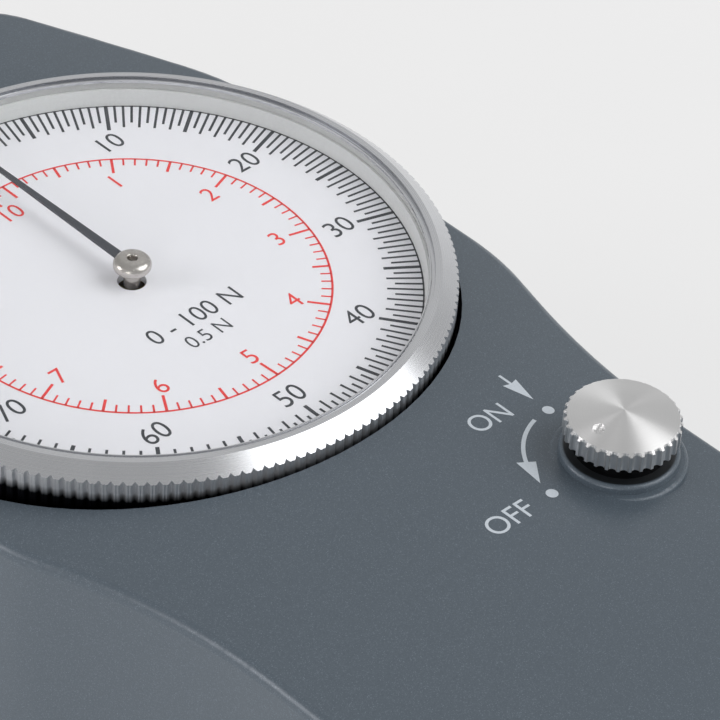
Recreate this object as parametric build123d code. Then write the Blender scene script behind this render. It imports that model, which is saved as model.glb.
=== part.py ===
from build123d import *
import os
from math import acos, asin, atan2, cos, degrees, hypot, pi, radians, sin, sqrt, tan

# Analog push-pull force gauge: a painted two-shell body, a dial with a toothed zero-set bezel, a sprung
# measuring shaft, the rack movement that drives the pointer, and the knob that holds the peak reading.
# Millimetres. The gauge lies on its back: X is its right, Y runs along the measuring shaft towards its
# threaded end, Z comes out of the dial. The origin is the bottom centre of its box.

# ---- driving dimensions -------------------------------------------------------------------

# body
bodyAbove = 42.0          # dial centre to the top end
bodyBelow = 146.0         # dial centre to the bottom end
handleWidth = 48.0
noseWidth = 34.0
shoulderDrop = 24.0       # height of the sloping shoulders at the top end
headFlat = 16.8           # how far the straight head sides reach below the dial centre
neckAngle = 18.0          # slope of the sides between head and handle
noseRound = 9.0
shoulderRound = 22.0
headEase = 4.3            # rounding between head and neck, in overhangs of the head
neckEase = 11.7           # rounding between neck and handle, likewise
heelRound = 14.0
crownRadius = 150.0       # curvature of the front face across the body
frontEdge = 1.0           # fillet round the front face
rearEdge = 3.5            # fillet round the rear face
wall = 2.5
frontWall = 3.0
lipHeight = 1.2           # locating lip on the rear cover
lipThick = 1.0
lipGap = 0.1
rimWall = 0.5             # thinnest wall between the bezel recess and the side
holeWall = 3.0            # wall round the bushes in the two ends

# bezel, dial and lens
bezelRadius = 28.63       # over the teeth
bezelTeeth = 180
toothDepth = 0.44
bezelGap = 0.42
bezelRise = 3.3           # top of the bezel above the dial face
coneDrop = 1.2            # how far the sloping face falls to the teeth
coneWide = 1.53           # width of the sloping face
boreChamfer = 0.2
bezelFace = 2.93          # width of the bezel from the dial's edge to its teeth
dialThick = 0.8
dialBore = 1.3
dialDrop = 1.0            # crest of the front face above the dial face
recessDepth = 7.0         # dial face to the floor of the recess
recessFloor = 2.0
spigotInset = 3.63        # bezel's teeth to the collar that it turns on
spigotWall = 2.5
ledgeThick = 1.2          # inner flange of the bezel that the dial lies on
ledgeWide = 2.2           # how far the ledge reaches in under the dial
ledgeGap = 0.4
turningGap = 0.05
spacerWide = 0.45
spacerTaper = 0.2
lensThick = 1.0
lensSeat = 1.66           # dial face to the underside of the lens at its edge
lensRise = 1.3            # how far the lens domes up
retainerThick = 0.35
snapWire = 0.8
snapGap = 0.12
washerThick = 0.3
washerGap = 0.3
washerWide = 2.4

# pointer
pointerShort = 1.5        # tip of the pointer to the edge of the dial
pointerRoot = 0.95
pointerTip = 0.25
pointerThick = 0.25
pointerHeight = 1.65      # dial face to the underside of the pointer
pointerEye = 1.3
hubRadius = 1.71
hubThick = 0.5
hubDome = 0.3
hubEdge = 0.15            # bevel round the lower edge of the cap
hubSkirt = 0.45           # how far the cap reaches down round the pointer's eye
hubGap = 0.05
postRadius = 0.75
spindleRadius = 0.4

# knob
knobX = 15.43
knobBelow = 43.97         # dial centre down to the knob centre
knobRadius = 5.0
knobThick = 1.91
knobTop = 4.82            # above the dial face
knobFlutes = 32
fluteRadius = 0.36
knobEdge = 0.04
knobDome = 0.7            # height of the domed top above its edge
dimpleRadius = 0.45
dimpleReach = 3.1
dimpleDepth = 0.25
collarStep = 5.9          # radius of the lower step of the raised collar
collarTop = 5.15          # radius of the upper step
collarRise = 1.4          # top of the collar above the dial face
collarStepDrop = 0.8
collarRound = 0.35
knobShaftRadius = 2.0
knobBushRadius = 4.0
knobBushLength = 7.5
knobHold = 1.2            # how far the shaft reaches into the knob
clipRadius = 3.4
clipThick = 0.6

# measuring shaft
shaftRadius = 4.0
shaftHeight = 19.0        # rear face to the shaft axis, where the two shells part
threadRadius = 3.0
threadLength = 14.0
threadPitchRadius = 2.68  # where the nut and the thread are engaged
nutGap = 0.3              # nut to the thread that an attachment screws on to
threadChamfer = 0.5
shaftOut = 38.0           # top end of the body to the tip of the shaft
shaftIn = 122.0           # dial centre to the inner end of the shaft
bushRadius = 6.0
noseBushLength = 8.5
noseFlange = 9.0
noseFlangeThick = 3.0
nutAcross = 10.0
nutThick = 5.0

# load springs
springRadius = 7.2        # to the centre of the wire
springWire = 1.6
springTurns = 7
springLength = 28.0
collarThick = 4.0
collarRadius = 9.0
setScrewRadius = 1.25
setScrewLength = 4.0

# chassis
chassisHeight = 6.5       # rear face to the underside of the chassis
chassisThick = 2.5
chassisWidth = 28.0
chassisHeadWidth = 44.0
chassisHeadReach = 22.0   # dial centre to the ends of the wide part
lugThick = 6.0
lugWidth = 20.0
lugAbove = 9.0            # shaft axis up to the top of a lug
upperLug = 24.0           # dial centre up to the upper lug
middleLug = 38.0          # dial centre down to the middle lug
guideRadius = 1.5
guideBelow = 7.5          # shaft axis down to the guide rod
driveWidth = 12.0
driveLength = 16.0
driveBelow = 1.9          # guide rod axis to the foot of the drive block

# gear train
rackModule = 0.8
rackTeeth = 12
rackPinionTeeth = 16
trainModule = 0.5
idlerTeeth = 48
pinionTeeth = 12
addendum = 0.8            # in modules
dedendum = 1.15
backlash = 0.08           # share of the tooth pitch
pressureAngle = 20.0
idlerX = -11.0
rackAbove = 6.0           # shaft axis to the underside of the rack
rackThick = 3.0
rackWide = 5.0
pinionGap = 0.3           # between rack pinion and drive block
idlerThick = 1.5
idlerArborRadius = 1.5
idlerPostRadius = 3.5
idlerPostDrop = 1.0       # rack down to the top of the idler post
pointerArborRadius = 0.9
plateThick = 1.5
rackClear = 0.6           # rack to the movement plate
plateSize = 42.0
gearGap = 1.4             # movement plate to the idler gear
bridgeSpace = 5.0         # movement plate to the bridge
movementRoom = 12.9       # movement plate to the dial face
bridgeArm = 7.0
pillarRadius = 2.5
pillarOffset = 18.0
pillarBite = 4.0          # length of thread in each end of a pillar
bridgePillarRadius = 2.0
bridgeInset = 4.5         # wall of the collar to the middle of a bridge pillar
bridgeAngles = (30.0, 125.0, 303.0)
arborGap = 0.03
jewelRadius = 2.2
hairTurns = 4
hairInner = 1.9
hairOuter = 7.0
hairWide = 0.7
hairThick = 0.2

# peak hold
camRadius = 4.0
camThrow = 1.2
camThick = 2.0
camHub = 3.4
camHubThick = 2.0
camScrewRadius = 0.625
camGap = 0.4
leverThick = 1.5
leverWide = 4.0
padAngle = -30.0          # where the pad meets the idler gear
padReach = 14.0           # lever post to the pad
padClear = 0.9            # pad to the gear with the hold off
padWide = 2.6
padDeep = 1.4
leverPostRadius = 1.5
leverPostHead = 2.4
leverSpringWire = 0.5

# fasteners and inserts
screwRadius = 1.5
screwHead = 2.75
screwHeadThick = 2.0
smallScrew = 1.0
smallHead = 1.8
smallHeadThick = 0.9
headSunk = 0.1            # how far the rack's screws lie below its face
rackBite = 1.8            # length of their thread in the drive block
screwBite = 9.0           # length of thread in the front housing
bossRadius = 3.6
postFootRadius = 3.8
holeGap = 0.2
seatGap = 0.02            # between parts that are pushed together
mountHole = 1.65          # M4 thread for a test stand
mountSpanX = 30.0
mountSpanY = 70.0
mountCentre = 20.0        # dial centre down to the middle of the four
topScrewX = 11.8
topScrewIn = 5.6          # top end down to the upper pair of screws
midScrewIn = 5.4          # side of the handle to the middle pair
midScrewBelow = 62.0      # dial centre down to the middle pair
heelScrewSide = 10.0      # side of the handle to the lower pair
heelScrewIn = 7.5         # bottom end up to the lower pair
headFootX = 18.0
headFootAbove = 1.0       # dial centre up to the upper chassis feet
tailFootX = 10.9
tailFootAbove = 5.0       # lower lug up to the lower chassis feet
insertRadius = 3.0
insertLength = 5.5
tailHole = 2.5            # M6 thread
tailDepth = 9.0
tailLength = 11.0

# ---- derived places -----------------------------------------------------------------------

headWidth = 2 * (bezelRadius + bezelGap + rimWall)
overhang = (headWidth - handleWidth) / 2             # head beyond the handle on each side
dialRadius = bezelRadius - bezelFace                 # face that shows inside the spacer ring
pointerLength = dialRadius - pointerShort
coneInner = bezelRadius - coneWide
spigotRadius = bezelRadius - spigotInset
ledgeInner = dialRadius - ledgeWide
bridgePillarReach = spigotRadius - spigotWall - bridgeInset
rackHeight = shaftHeight + rackAbove
plateHeight = rackHeight + rackThick + rackClear     # underside of the movement plate
plateTop = plateHeight + plateThick
idlerPostTop = rackHeight - idlerPostDrop
guideHeight = shaftHeight - guideBelow
driveFoot = guideHeight - driveBelow
lugTop = shaftHeight + lugAbove
dialY = (bodyBelow - bodyAbove - shaftOut) / 2
dialZ = plateTop + movementRoom
bodyDepth = dialZ + dialDrop                         # rear face to the crest of the crowned front face
topY = dialY + bodyAbove
bottomY = dialY - bodyBelow
recessRadius = bezelRadius + bezelGap
floorZ = dialZ - recessDepth
ledgeZ = dialZ - dialThick - ledgeThick
spigotTop = ledgeZ - ledgeGap
snapZ = (floorZ + spigotTop) / 2
bezelBore = dialRadius + spacerWide
knobY = dialY - knobBelow
rackPitch = rackModule * rackPinionTeeth / 2
idlerPitch = trainModule * idlerTeeth / 2
pinionPitch = trainModule * pinionTeeth / 2
idlerY = dialY - sqrt((idlerPitch + pinionPitch)**2 - idlerX**2)
chassisTop = chassisHeight + chassisThick
idlerZ = plateTop + gearGap
bridgeZ = plateTop + bridgeSpace
upperLugY = dialY + upperLug
middleLugY = dialY - middleLug - lugThick
collarY = middleLugY - springLength                  # upper face of the spring collar
lowerLugY = collarY - collarThick - springLength - lugThick
idlerRim = idlerPitch + addendum * trainModule
padX = idlerX + (idlerRim + padClear) * cos(radians(padAngle))
padY = idlerY + (idlerRim + padClear) * sin(radians(padAngle))
leverX = padX + padReach * sin(radians(padAngle))
leverY = padY - padReach * cos(radians(padAngle))
screwSpots = [(topScrewX, topY - topScrewIn), (handleWidth / 2 - midScrewIn, dialY - midScrewBelow),
              (handleWidth / 2 - heelScrewSide, bottomY + heelScrewIn)]
mountSpots = [(mountSpanX / 2, dialY - mountCentre + mountSpanY / 2),
              (mountSpanX / 2, dialY - mountCentre - mountSpanY / 2)]
footSpots = [(headFootX, dialY + headFootAbove), (tailFootX, lowerLugY + lugThick + tailFootAbove)]
pillarSpots = [(pillarOffset, dialY + pillarOffset), (pillarOffset, dialY - pillarOffset)]
bridgeSpots = [(bridgePillarReach * cos(radians(a)), dialY + bridgePillarReach * sin(radians(a)))
               for a in bridgeAngles]


# ---- helpers ------------------------------------------------------------------------------

standing = (Align.CENTER, Align.CENTER, Align.MIN)


def show(shape, name):
    """Writes one piece to its file."""
    shape.label = name
    export_step(shape, "parts/" + name + ".step")


def rod(radius, z0, z1, x=0.0, y=0.0):
    """Round bar along Z."""
    return Pos(x, y, z0) * Cylinder(radius, z1 - z0, align=standing)


def ring(inner, outer, z0, z1, x=0.0, y=0.0):
    """Tube along Z."""
    return rod(outer, z0, z1, x, y) - rod(inner, z0 - 1, z1 + 1, x, y)


def bar(radius, y0, y1, x=0.0, z=0.0):
    """Round bar along Y."""
    return Pos(x, y0, z) * Rot(-90, 0, 0) * Cylinder(radius, y1 - y0, align=standing)


def block(x0, x1, y0, y1, z0, z1):
    """Box between two corners."""
    return Pos((x0 + x1) / 2, (y0 + y1) / 2, (z0 + z1) / 2) * Box(x1 - x0, y1 - y0, z1 - z0)


def turned(points, x=0.0, y=0.0):
    """Solid of revolution about an upright axis, from (r, z) points."""
    face = make_face(Polyline(*[(r, 0, z) for r, z in points], close=True))
    return Pos(x, y, 0) * revolve(face, Axis.Z, 360)


def plate(face, z0, z1):
    """Flat outline raised between two heights."""
    return Pos(0, 0, z0) * extrude(face, z1 - z0, dir=(0, 0, 1))


def screw(x, y, shankLow, seat, up=1, radius=screwRadius, head=screwHead, headThick=screwHeadThick):
    """Cap screw along Z: its head lies beyond the seat, on the side that up points to."""
    low, high = sorted((shankLow, seat))
    body = rod(radius, low, high, x, y)
    ends = sorted((seat, seat + up * headThick))
    return body + rod(head, ends[0], ends[1], x, y)


def gearFace(teeth, module, phase):
    """Flat gear outline with involute flanks through root, pitch and tip; a tooth is centred on phase."""
    pitch = module * teeth / 2
    base = pitch * cos(radians(pressureAngle))
    involute = tan(radians(pressureAngle)) - radians(pressureAngle)
    half = pi / (2 * teeth) * (1 - 2 * backlash)
    radii = [pitch - dedendum * module, max(base, pitch - 0.5 * module), pitch, pitch + addendum * module]
    flank = []
    for r in radii:
        angle = acos(base / max(r, base))
        flank.append((r, half + involute - (tan(angle) - angle)))
    points = []
    for tooth in range(teeth):
        centre = radians(phase) + 2 * pi * tooth / teeth
        points += [(r * cos(centre - a), r * sin(centre - a)) for r, a in flank]
        points += [(r * cos(centre + a), r * sin(centre + a)) for r, a in reversed(flank)]
    return make_face(Polyline(*points, close=True))


def coil(radius, wire, turns, length):
    """Coil spring standing on Z = 0, its wire inside the length."""
    path = Helix((length - wire) / turns, length - wire, radius)
    section = Plane(origin=path @ 0, z_dir=path % 0) * RegularPolygon(wire / 2, 6)
    return Pos(0, 0, wire / 2) * sweep(section, path, is_frenet=True)


def bothSides(spots):
    """The same spots on the right and on the left."""
    return [(side * x, y) for x, y in spots for side in (1, -1)]


# ---- housing ------------------------------------------------------------------------------

def outline(inset=0.0):
    """Body from the front: nose, shoulders, straight head, neck, handle and rounded heel."""
    head = headWidth / 2
    handle = handleWidth / 2
    neckDrop = overhang / tan(radians(neckAngle))
    right = [(noseWidth / 2, topY), (head, topY - shoulderDrop), (head, dialY - headFlat),
             (handle, dialY - headFlat - neckDrop), (handle, bottomY)]
    rounds = [noseRound, shoulderRound, headEase * overhang, neckEase * overhang, heelRound]
    corners = right + [(-x, y) for x, y in reversed(right)]
    face = make_face(Polyline(*corners, close=True))
    for (x, y), radius in zip(right, rounds):
        spots = [v for v in face.vertices() if abs(abs(v.X) - x) < 1e-4 and abs(v.Y - y) < 1e-4]
        face = fillet(spots, radius)
    return offset(face, -inset) if inset else face


def slab(inset, z0, z1):
    """Body outline as a plate between two heights."""
    return plate(outline(inset), z0, z1)


def crown(drop=0.0):
    """Everything under the front face, which curves across the body."""
    wide = headWidth
    crest = bodyDepth - drop
    edge = crest - crownRadius + sqrt(crownRadius**2 - wide**2)
    top = ThreePointArc((-wide, 0, edge), (0, 0, crest), (wide, 0, edge))
    rest = Polyline((wide, 0, edge), (wide, 0, -bodyDepth), (-wide, 0, -bodyDepth), (-wide, 0, edge))
    return extrude(make_face(top + rest), bodyAbove + bodyBelow, dir=(0, 1, 0), both=True)


def endBosses():
    """Thick walls round the bushes in the two ends."""
    nose = bar(bushRadius + holeWall, topY - noseBushLength, topY - wall / 2, 0, shaftHeight)
    tail = bar(bushRadius + holeWall, bottomY + wall / 2, bottomY + tailLength, 0, shaftHeight)
    return nose + tail


def endHoles():
    """Bores for the nose bush and the tail insert."""
    nose = bar(bushRadius + seatGap, topY - noseBushLength - 1, topY + 1, 0, shaftHeight)
    tail = bar(bushRadius + seatGap, bottomY - 1, bottomY + tailLength + 1, 0, shaftHeight)
    return nose + tail


def knobCollar():
    """Raised collar that the knob stands in, with a rounded step half way up."""
    top = dialZ + collarRise
    step = top - collarStepDrop
    under = dialZ - frontWall
    r = collarRound
    edge = sin(pi / 4) * r
    profile = Polyline((0, 0, top), (0, 0, under), (collarStep, 0, under), (collarStep, 0, step - r))
    for out, high in ((collarStep - r, step), (collarTop - r, top)):
        middle = (out + edge, 0, high - r + edge)
        profile += ThreePointArc((out + r, 0, high - r), middle, (out, 0, high))
    profile += Polyline((collarStep - r, 0, step), (collarTop, 0, step), (collarTop, 0, top - r))
    profile += Line((collarTop - r, 0, top), (0, 0, top))
    return Pos(knobX, knobY, 0) * revolve(make_face(profile), Axis.Z, 360)


def frontHousing():
    body = slab(0, shaftHeight, bodyDepth + 1) & crown()
    upper = [e for e in body.edges() if e.center().Z > shaftHeight + wall]
    body = fillet([e for e in upper if e.bounding_box().size.Z < bodyDepth / 4], frontEdge)
    cavity = slab(wall, shaftHeight - 1, bodyDepth) & crown(frontWall)
    pot = rod(recessRadius + wall, floorZ - recessFloor, bodyDepth, 0, dialY)
    body -= cavity - pot
    body += endBosses() & slab(wall / 2, shaftHeight, bodyDepth)
    for x, y in bothSides(screwSpots):
        boss = rod(bossRadius, shaftHeight, bodyDepth, x, y) & slab(wall / 2, shaftHeight, bodyDepth)
        body += boss & crown(frontWall / 2)
    body += rod(knobBushRadius + wall, dialZ - knobBushLength + wall, dialZ - frontWall / 2, knobX, knobY)
    body -= rod(recessRadius, floorZ, bodyDepth + 2, 0, dialY)
    body += rod(spigotRadius, floorZ - recessFloor / 2, spigotTop, 0, dialY)
    body -= rod(spigotRadius - spigotWall, shaftHeight, bodyDepth, 0, dialY)
    body -= ring(spigotRadius - snapWire / 2, spigotRadius + 1, snapZ, snapZ + snapWire, 0, dialY)
    body += knobCollar()
    body -= rod(knobBushRadius + seatGap, shaftHeight, bodyDepth + 4, knobX, knobY)
    for x, y in bothSides(screwSpots):
        body -= rod(screwRadius + seatGap, shaftHeight - 1, shaftHeight + screwBite + 1, x, y)
    return body - endHoles()


def rearCover():
    body = slab(0, 0, shaftHeight)
    rim = [e for e in body.edges() if e.center().Z < 0.01]
    body = fillet(rim, rearEdge)
    body -= slab(wall, wall, shaftHeight + 1)
    body += slab(wall + lipGap, shaftHeight - wall, shaftHeight + lipHeight) - slab(
        wall + lipGap + lipThick, shaftHeight - wall - 1, shaftHeight + lipHeight + 1)
    body += slab(wall / 2, shaftHeight - wall - lipThick, shaftHeight - wall) - slab(
        wall + lipGap + lipThick, shaftHeight - wall - lipThick - 1, shaftHeight)
    body += endBosses() & slab(wall / 2, 0, shaftHeight)
    for x, y in bothSides(screwSpots):
        body += rod(bossRadius, wall / 2, shaftHeight, x, y) & slab(wall / 2, 0, shaftHeight)
    for x, y in bothSides(mountSpots):
        body += rod(insertRadius + wall / 2, wall / 2, insertLength + 0.5, x, y)
    for x, y in bothSides(footSpots):
        body += rod(postFootRadius, wall / 2, chassisHeight, x, y)
    for x, y in bothSides(screwSpots):
        body -= rod(screwHead + holeGap, -1, screwHeadThick + holeGap, x, y)
        body -= rod(screwRadius + holeGap, -1, shaftHeight + lipHeight + 1, x, y)
        body -= rod(bossRadius + lipGap, shaftHeight, shaftHeight + lipHeight + 1, x, y)
    for x, y in bothSides(mountSpots):
        body -= rod(insertRadius + seatGap, -1, insertLength, x, y)
    for x, y in bothSides(footSpots):
        body -= rod(screwRadius + seatGap, wall / 2, chassisHeight + 1, x, y)
    clear = bar(bushRadius + holeWall + lipGap, topY - noseBushLength - 1, topY, 0, shaftHeight)
    clear += bar(bushRadius + holeWall + lipGap, bottomY, bottomY + tailLength + 1, 0, shaftHeight)
    body -= clear & slab(0, shaftHeight, shaftHeight + lipHeight + 1)
    return body - endHoles()


def housingScrews():
    return Compound(children=[screw(x, y, shaftHeight + screwBite, screwHeadThick + holeGap, -1)
                              for x, y in bothSides(screwSpots)])


def noseBush():
    body = bar(bushRadius, topY - noseBushLength, topY, 0, shaftHeight)
    flange = bar(noseFlange, topY, topY + noseFlangeThick, 0, shaftHeight)
    flange = chamfer(flange.edges().filter_by(GeomType.CIRCLE).sort_by(Axis.Y)[-1], noseFlangeThick / 5)
    return body + flange - bar(shaftRadius + turningGap, topY - 20, topY + 20, 0, shaftHeight)


def tailInsert():
    body = bar(bushRadius, bottomY, bottomY + tailLength, 0, shaftHeight)
    return body - bar(tailHole, bottomY - 1, bottomY + tailDepth, 0, shaftHeight)


def mountInserts():
    inserts = [rod(insertRadius, 0, insertLength, x, y) - rod(mountHole, -1, insertLength + 1, x, y)
               for x, y in bothSides(mountSpots)]
    return Compound(children=inserts)


# ---- chassis ------------------------------------------------------------------------------

def chassis():
    """Cast frame: a base plate with three lugs that carry the shaft and a post for the idler arbor."""
    foot = lowerLugY - 3
    top = upperLugY + lugThick
    body = block(-chassisWidth / 2, chassisWidth / 2, foot, top, chassisHeight, chassisTop)
    head = dialY + chassisHeadReach
    wide = chassisHeadWidth / 2
    body += block(-wide, wide, 2 * dialY - head, head, chassisHeight, chassisTop)
    body = fillet(body.edges().filter_by(Axis.Z), chassisThick)
    for y in (upperLugY, middleLugY, lowerLugY):
        lug = block(-lugWidth / 2, lugWidth / 2, y, y + lugThick, chassisTop - 1, lugTop)
        lug = fillet(lug.edges().filter_by(Axis.Y).sort_by(Axis.Z)[-2:], lugWidth / 4)
        body += lug
        body -= bar(bushRadius + seatGap, y - 1, y + lugThick + 1, 0, shaftHeight)
    body += rod(idlerPostRadius, chassisTop - 1, idlerPostTop, idlerX, idlerY)
    body -= rod(jewelRadius + seatGap, idlerPostTop - lugThick / 2, idlerPostTop + 1, idlerX, idlerY)
    body -= rod(idlerArborRadius + holeGap, idlerPostTop - lugThick, idlerPostTop, idlerX, idlerY)
    body -= bar(guideRadius + seatGap, middleLugY - 1, upperLugY + lugThick + 1, 0, guideHeight)
    window = springLength - 2 * lugThick
    for y in (collarY + lugThick, lowerLugY + 2 * lugThick):
        slot = block(-lugWidth / 4, lugWidth / 4, y, y + window, chassisHeight - 1, chassisTop + 1)
        body -= fillet(slot.edges().filter_by(Axis.Z), lugWidth / 5)
    for x, y in bothSides(footSpots):
        body -= rod(screwRadius + holeGap, chassisHeight - 1, chassisTop + 1, x, y)
    for x, y in bothSides(pillarSpots):
        body -= rod(smallScrew + seatGap, chassisHeight - 1, chassisTop + 1, x, y)
        body -= rod(smallHead + holeGap, chassisHeight - 1, chassisHeight + smallHeadThick, x, y)
    return body


def chassisScrews():
    return Compound(children=[screw(x, y, wall / 2 + 0.2, chassisTop) for x, y in bothSides(footSpots)])


def shaftBushes():
    bushes = []
    for y in (upperLugY, middleLugY, lowerLugY):
        bush = bar(bushRadius, y, y + lugThick, 0, shaftHeight)
        bushes.append(bush - bar(shaftRadius + turningGap, y - 1, y + lugThick + 1, 0, shaftHeight))
    return Compound(children=bushes)


def guideRod():
    return bar(guideRadius, middleLugY, upperLugY + lugThick, 0, guideHeight)


# ---- measuring shaft ----------------------------------------------------------------------

def measuringShaft():
    """Ground shaft with a threaded tip: full diameter where it is bare, pitch diameter in the nut."""
    tip = topY + shaftOut
    shoulder = tip - threadLength
    body = bar(shaftRadius, dialY - shaftIn, shoulder, 0, shaftHeight)
    body = chamfer(body.edges().filter_by(GeomType.CIRCLE), threadChamfer)
    body += bar(threadPitchRadius, shoulder - 1, tip - 1, 0, shaftHeight)
    thread = bar(threadRadius, shoulder + nutThick + nutGap, tip, 0, shaftHeight)
    return body + chamfer(thread.edges().filter_by(GeomType.CIRCLE).sort_by(Axis.Y)[-1], threadChamfer)


def lockNut():
    """Hexagon nut run down to the shoulder of the shaft."""
    seat = topY + shaftOut - threadLength
    hexagon = extrude(RegularPolygon(nutAcross / sqrt(3), 6), nutThick)
    round = rod(nutAcross / sqrt(3), 0, nutThick)
    nut = hexagon & chamfer(round.edges().filter_by(GeomType.CIRCLE), nutThick / 10)
    nut = Pos(0, seat, shaftHeight) * Rot(-90, 0, 0) * nut
    return nut - bar(threadPitchRadius + seatGap, seat - 1, seat + nutThick + 1, 0, shaftHeight)


def driveBlock():
    """Block clamped on the shaft; it slides on the guide rod and carries the rack."""
    y0 = idlerY - driveLength / 2
    y1 = idlerY + driveLength / 2
    body = block(-driveWidth / 2, driveWidth / 2, y0, y1, driveFoot, rackHeight)
    body = fillet(body.edges().filter_by(Axis.Y).sort_by(Axis.Z)[:2], driveWidth / 6)
    body -= bar(shaftRadius + seatGap, y0 - 1, y1 + 1, 0, shaftHeight)
    body -= bar(guideRadius + turningGap, y0 - 1, y1 + 1, 0, guideHeight)
    x = rackBackX() - rackWide / 2
    for y in rackScrewSpots():
        body -= rod(smallScrew + seatGap, rackHeight - rackBite - holeGap, rackHeight + 1, x, y)
    return body


def rackBackX():
    return idlerX + rackPitch + dedendum * rackModule + rackWide


def rackScrewSpots():
    return [idlerY - driveLength / 3, idlerY + driveLength / 3]


def rack():
    """Toothed bar; its teeth face the rack pinion, with a gap level with the pinion's axis."""
    pitch = pi * rackModule
    line = idlerX + rackPitch
    slope = tan(radians(pressureAngle))
    half = pitch / 4 * (1 - 2 * backlash)
    root = line + dedendum * rackModule
    tip = line - addendum * rackModule
    low = idlerY - pitch * rackTeeth / 2
    points = [(root, low)]
    for tooth in range(rackTeeth):
        centre = low + (tooth + 0.5) * pitch
        wide = half + (root - line) * slope
        narrow = half - (line - tip) * slope
        points += [(root, centre - wide), (tip, centre - narrow)]
        points += [(tip, centre + narrow), (root, centre + wide)]
    high = low + pitch * rackTeeth
    points += [(root, high), (root + rackWide, high), (root + rackWide, low)]
    top = rackHeight + rackThick
    body = plate(make_face(Polyline(*points, close=True)), rackHeight, top)
    x = rackBackX() - rackWide / 2
    for y in rackScrewSpots():
        body -= rod(smallScrew + seatGap, rackHeight - 1, top + 1, x, y)
        body -= rod(smallHead + seatGap, top - smallHeadThick - headSunk, top + 1, x, y)
    return body


def rackScrews():
    seat = rackHeight + rackThick - smallHeadThick - headSunk
    x = rackBackX() - rackWide / 2
    low = rackHeight - rackBite
    return Compound(children=[screw(x, y, low, seat, 1, smallScrew, smallHead, smallHeadThick)
                              for y in rackScrewSpots()])


def springCollar():
    body = bar(collarRadius, collarY - collarThick, collarY, 0, shaftHeight)
    body = chamfer(body.edges().filter_by(GeomType.CIRCLE), collarThick / 10)
    body -= bar(shaftRadius + seatGap, collarY - collarThick - 1, collarY + 1, 0, shaftHeight)
    y = collarY - collarThick / 2
    return body - rod(setScrewRadius + seatGap, shaftHeight, shaftHeight + collarRadius + 1, 0, y)


def setScrew():
    y = collarY - collarThick / 2
    start = shaftHeight + shaftRadius
    body = rod(setScrewRadius, start, start + setScrewLength, 0, y)
    socket = Pos(0, y, start + setScrewLength - 1.2) * extrude(RegularPolygon(setScrewRadius / 2, 6), 2)
    return body - socket


def loadSpring(y0):
    spring = coil(springRadius, springWire, springTurns, springLength)
    return Pos(0, y0, shaftHeight) * Rot(-90, 0, 0) * spring


# ---- movement -----------------------------------------------------------------------------

def movementPlate():
    """Lower plate of the movement, with a tab that carries the lever post."""
    half = plateSize / 2
    face = Pos(0, dialY) * RectangleRounded(plateSize, plateSize, plateSize / 8)
    tabLow = leverY - leverWide
    tabHigh = dialY - half + leverWide
    face += Pos(leverX, (tabHigh + tabLow) / 2) * Rectangle(2.5 * leverWide, tabHigh - tabLow)
    body = plate(face, plateHeight, plateTop)
    body -= rod(jewelRadius + seatGap, plateHeight - 1, plateTop + 1, 0, dialY)
    body -= rod(idlerArborRadius + 1, plateHeight - 1, plateTop + 1, idlerX, idlerY)
    body -= rod(leverPostRadius + seatGap, plateHeight - 1, plateTop + 1, leverX, leverY)
    for x, y in bothSides(pillarSpots) + bridgeSpots:
        body -= rod(smallScrew + seatGap, plateHeight - 1, plateTop + 1, x, y)
    window = Pos(plateSize / 5, dialY) * RectangleRounded(plateSize / 5, plateSize / 3, plateSize / 16)
    body -= plate(window, plateHeight - 1, plateTop + 1)
    return body


def movementPillars():
    inner = smallScrew + seatGap
    return Compound(children=[ring(inner, pillarRadius, chassisTop, plateHeight, x, y)
                              for x, y in bothSides(pillarSpots)])


def movementScrews():
    top = [screw(x, y, plateHeight - pillarBite, plateTop, 1, smallScrew, smallHead, smallHeadThick)
           for x, y in bothSides(pillarSpots)]
    seat = chassisHeight + smallHeadThick
    low = [screw(x, y, chassisTop + pillarBite, seat, -1, smallScrew, smallHead, smallHeadThick)
           for x, y in bothSides(pillarSpots)]
    return Compound(children=top + low)


def bridgePlate():
    """Three-armed bridge that holds the upper ends of both arbors."""
    face = Pos(0, dialY) * Circle(bridgeArm)
    for (x, y), angle in zip(bridgeSpots, bridgeAngles):
        arm = Rectangle(bridgePillarReach, bridgeArm * 0.8, align=(Align.MIN, Align.CENTER))
        face += Pos(0, dialY) * Rot(0, 0, angle) * arm
        face += Pos(x, y) * Circle(bridgePillarRadius + 1.2)
    reach = hypot(idlerX, idlerY - dialY)
    angle = degrees(atan2(idlerY - dialY, idlerX))
    arm = Rectangle(reach, bridgeArm * 0.8, align=(Align.MIN, Align.CENTER))
    face += Pos(0, dialY) * Rot(0, 0, angle) * arm
    face += Pos(idlerX, idlerY) * Circle(jewelRadius + 2)
    body = plate(face, bridgeZ, bridgeZ + plateThick)
    body -= rod(jewelRadius + seatGap, bridgeZ - 1, bridgeZ + plateThick + 1, 0, dialY)
    body -= rod(jewelRadius + seatGap, bridgeZ - 1, bridgeZ + plateThick + 1, idlerX, idlerY)
    x, y = studSpot()
    body -= rod(0.5 + seatGap, bridgeZ - 1, bridgeZ + plateThick + 1, x, y)
    for x, y in bridgeSpots:
        body -= rod(smallScrew + seatGap, bridgeZ - 1, bridgeZ + plateThick + 1, x, y)
    return body


def bridgePillars():
    pillars = [rod(bridgePillarRadius, plateTop, bridgeZ, x, y) - rod(smallScrew + seatGap, plateTop - 1,
               bridgeZ + 1, x, y) for x, y in bridgeSpots]
    return Compound(children=pillars)


def bridgeScrews():
    top = bridgeZ + plateThick
    return Compound(children=[screw(x, y, plateHeight, top, 1, smallScrew, smallHead, smallHeadThick)
                              for x, y in bridgeSpots])


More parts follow.
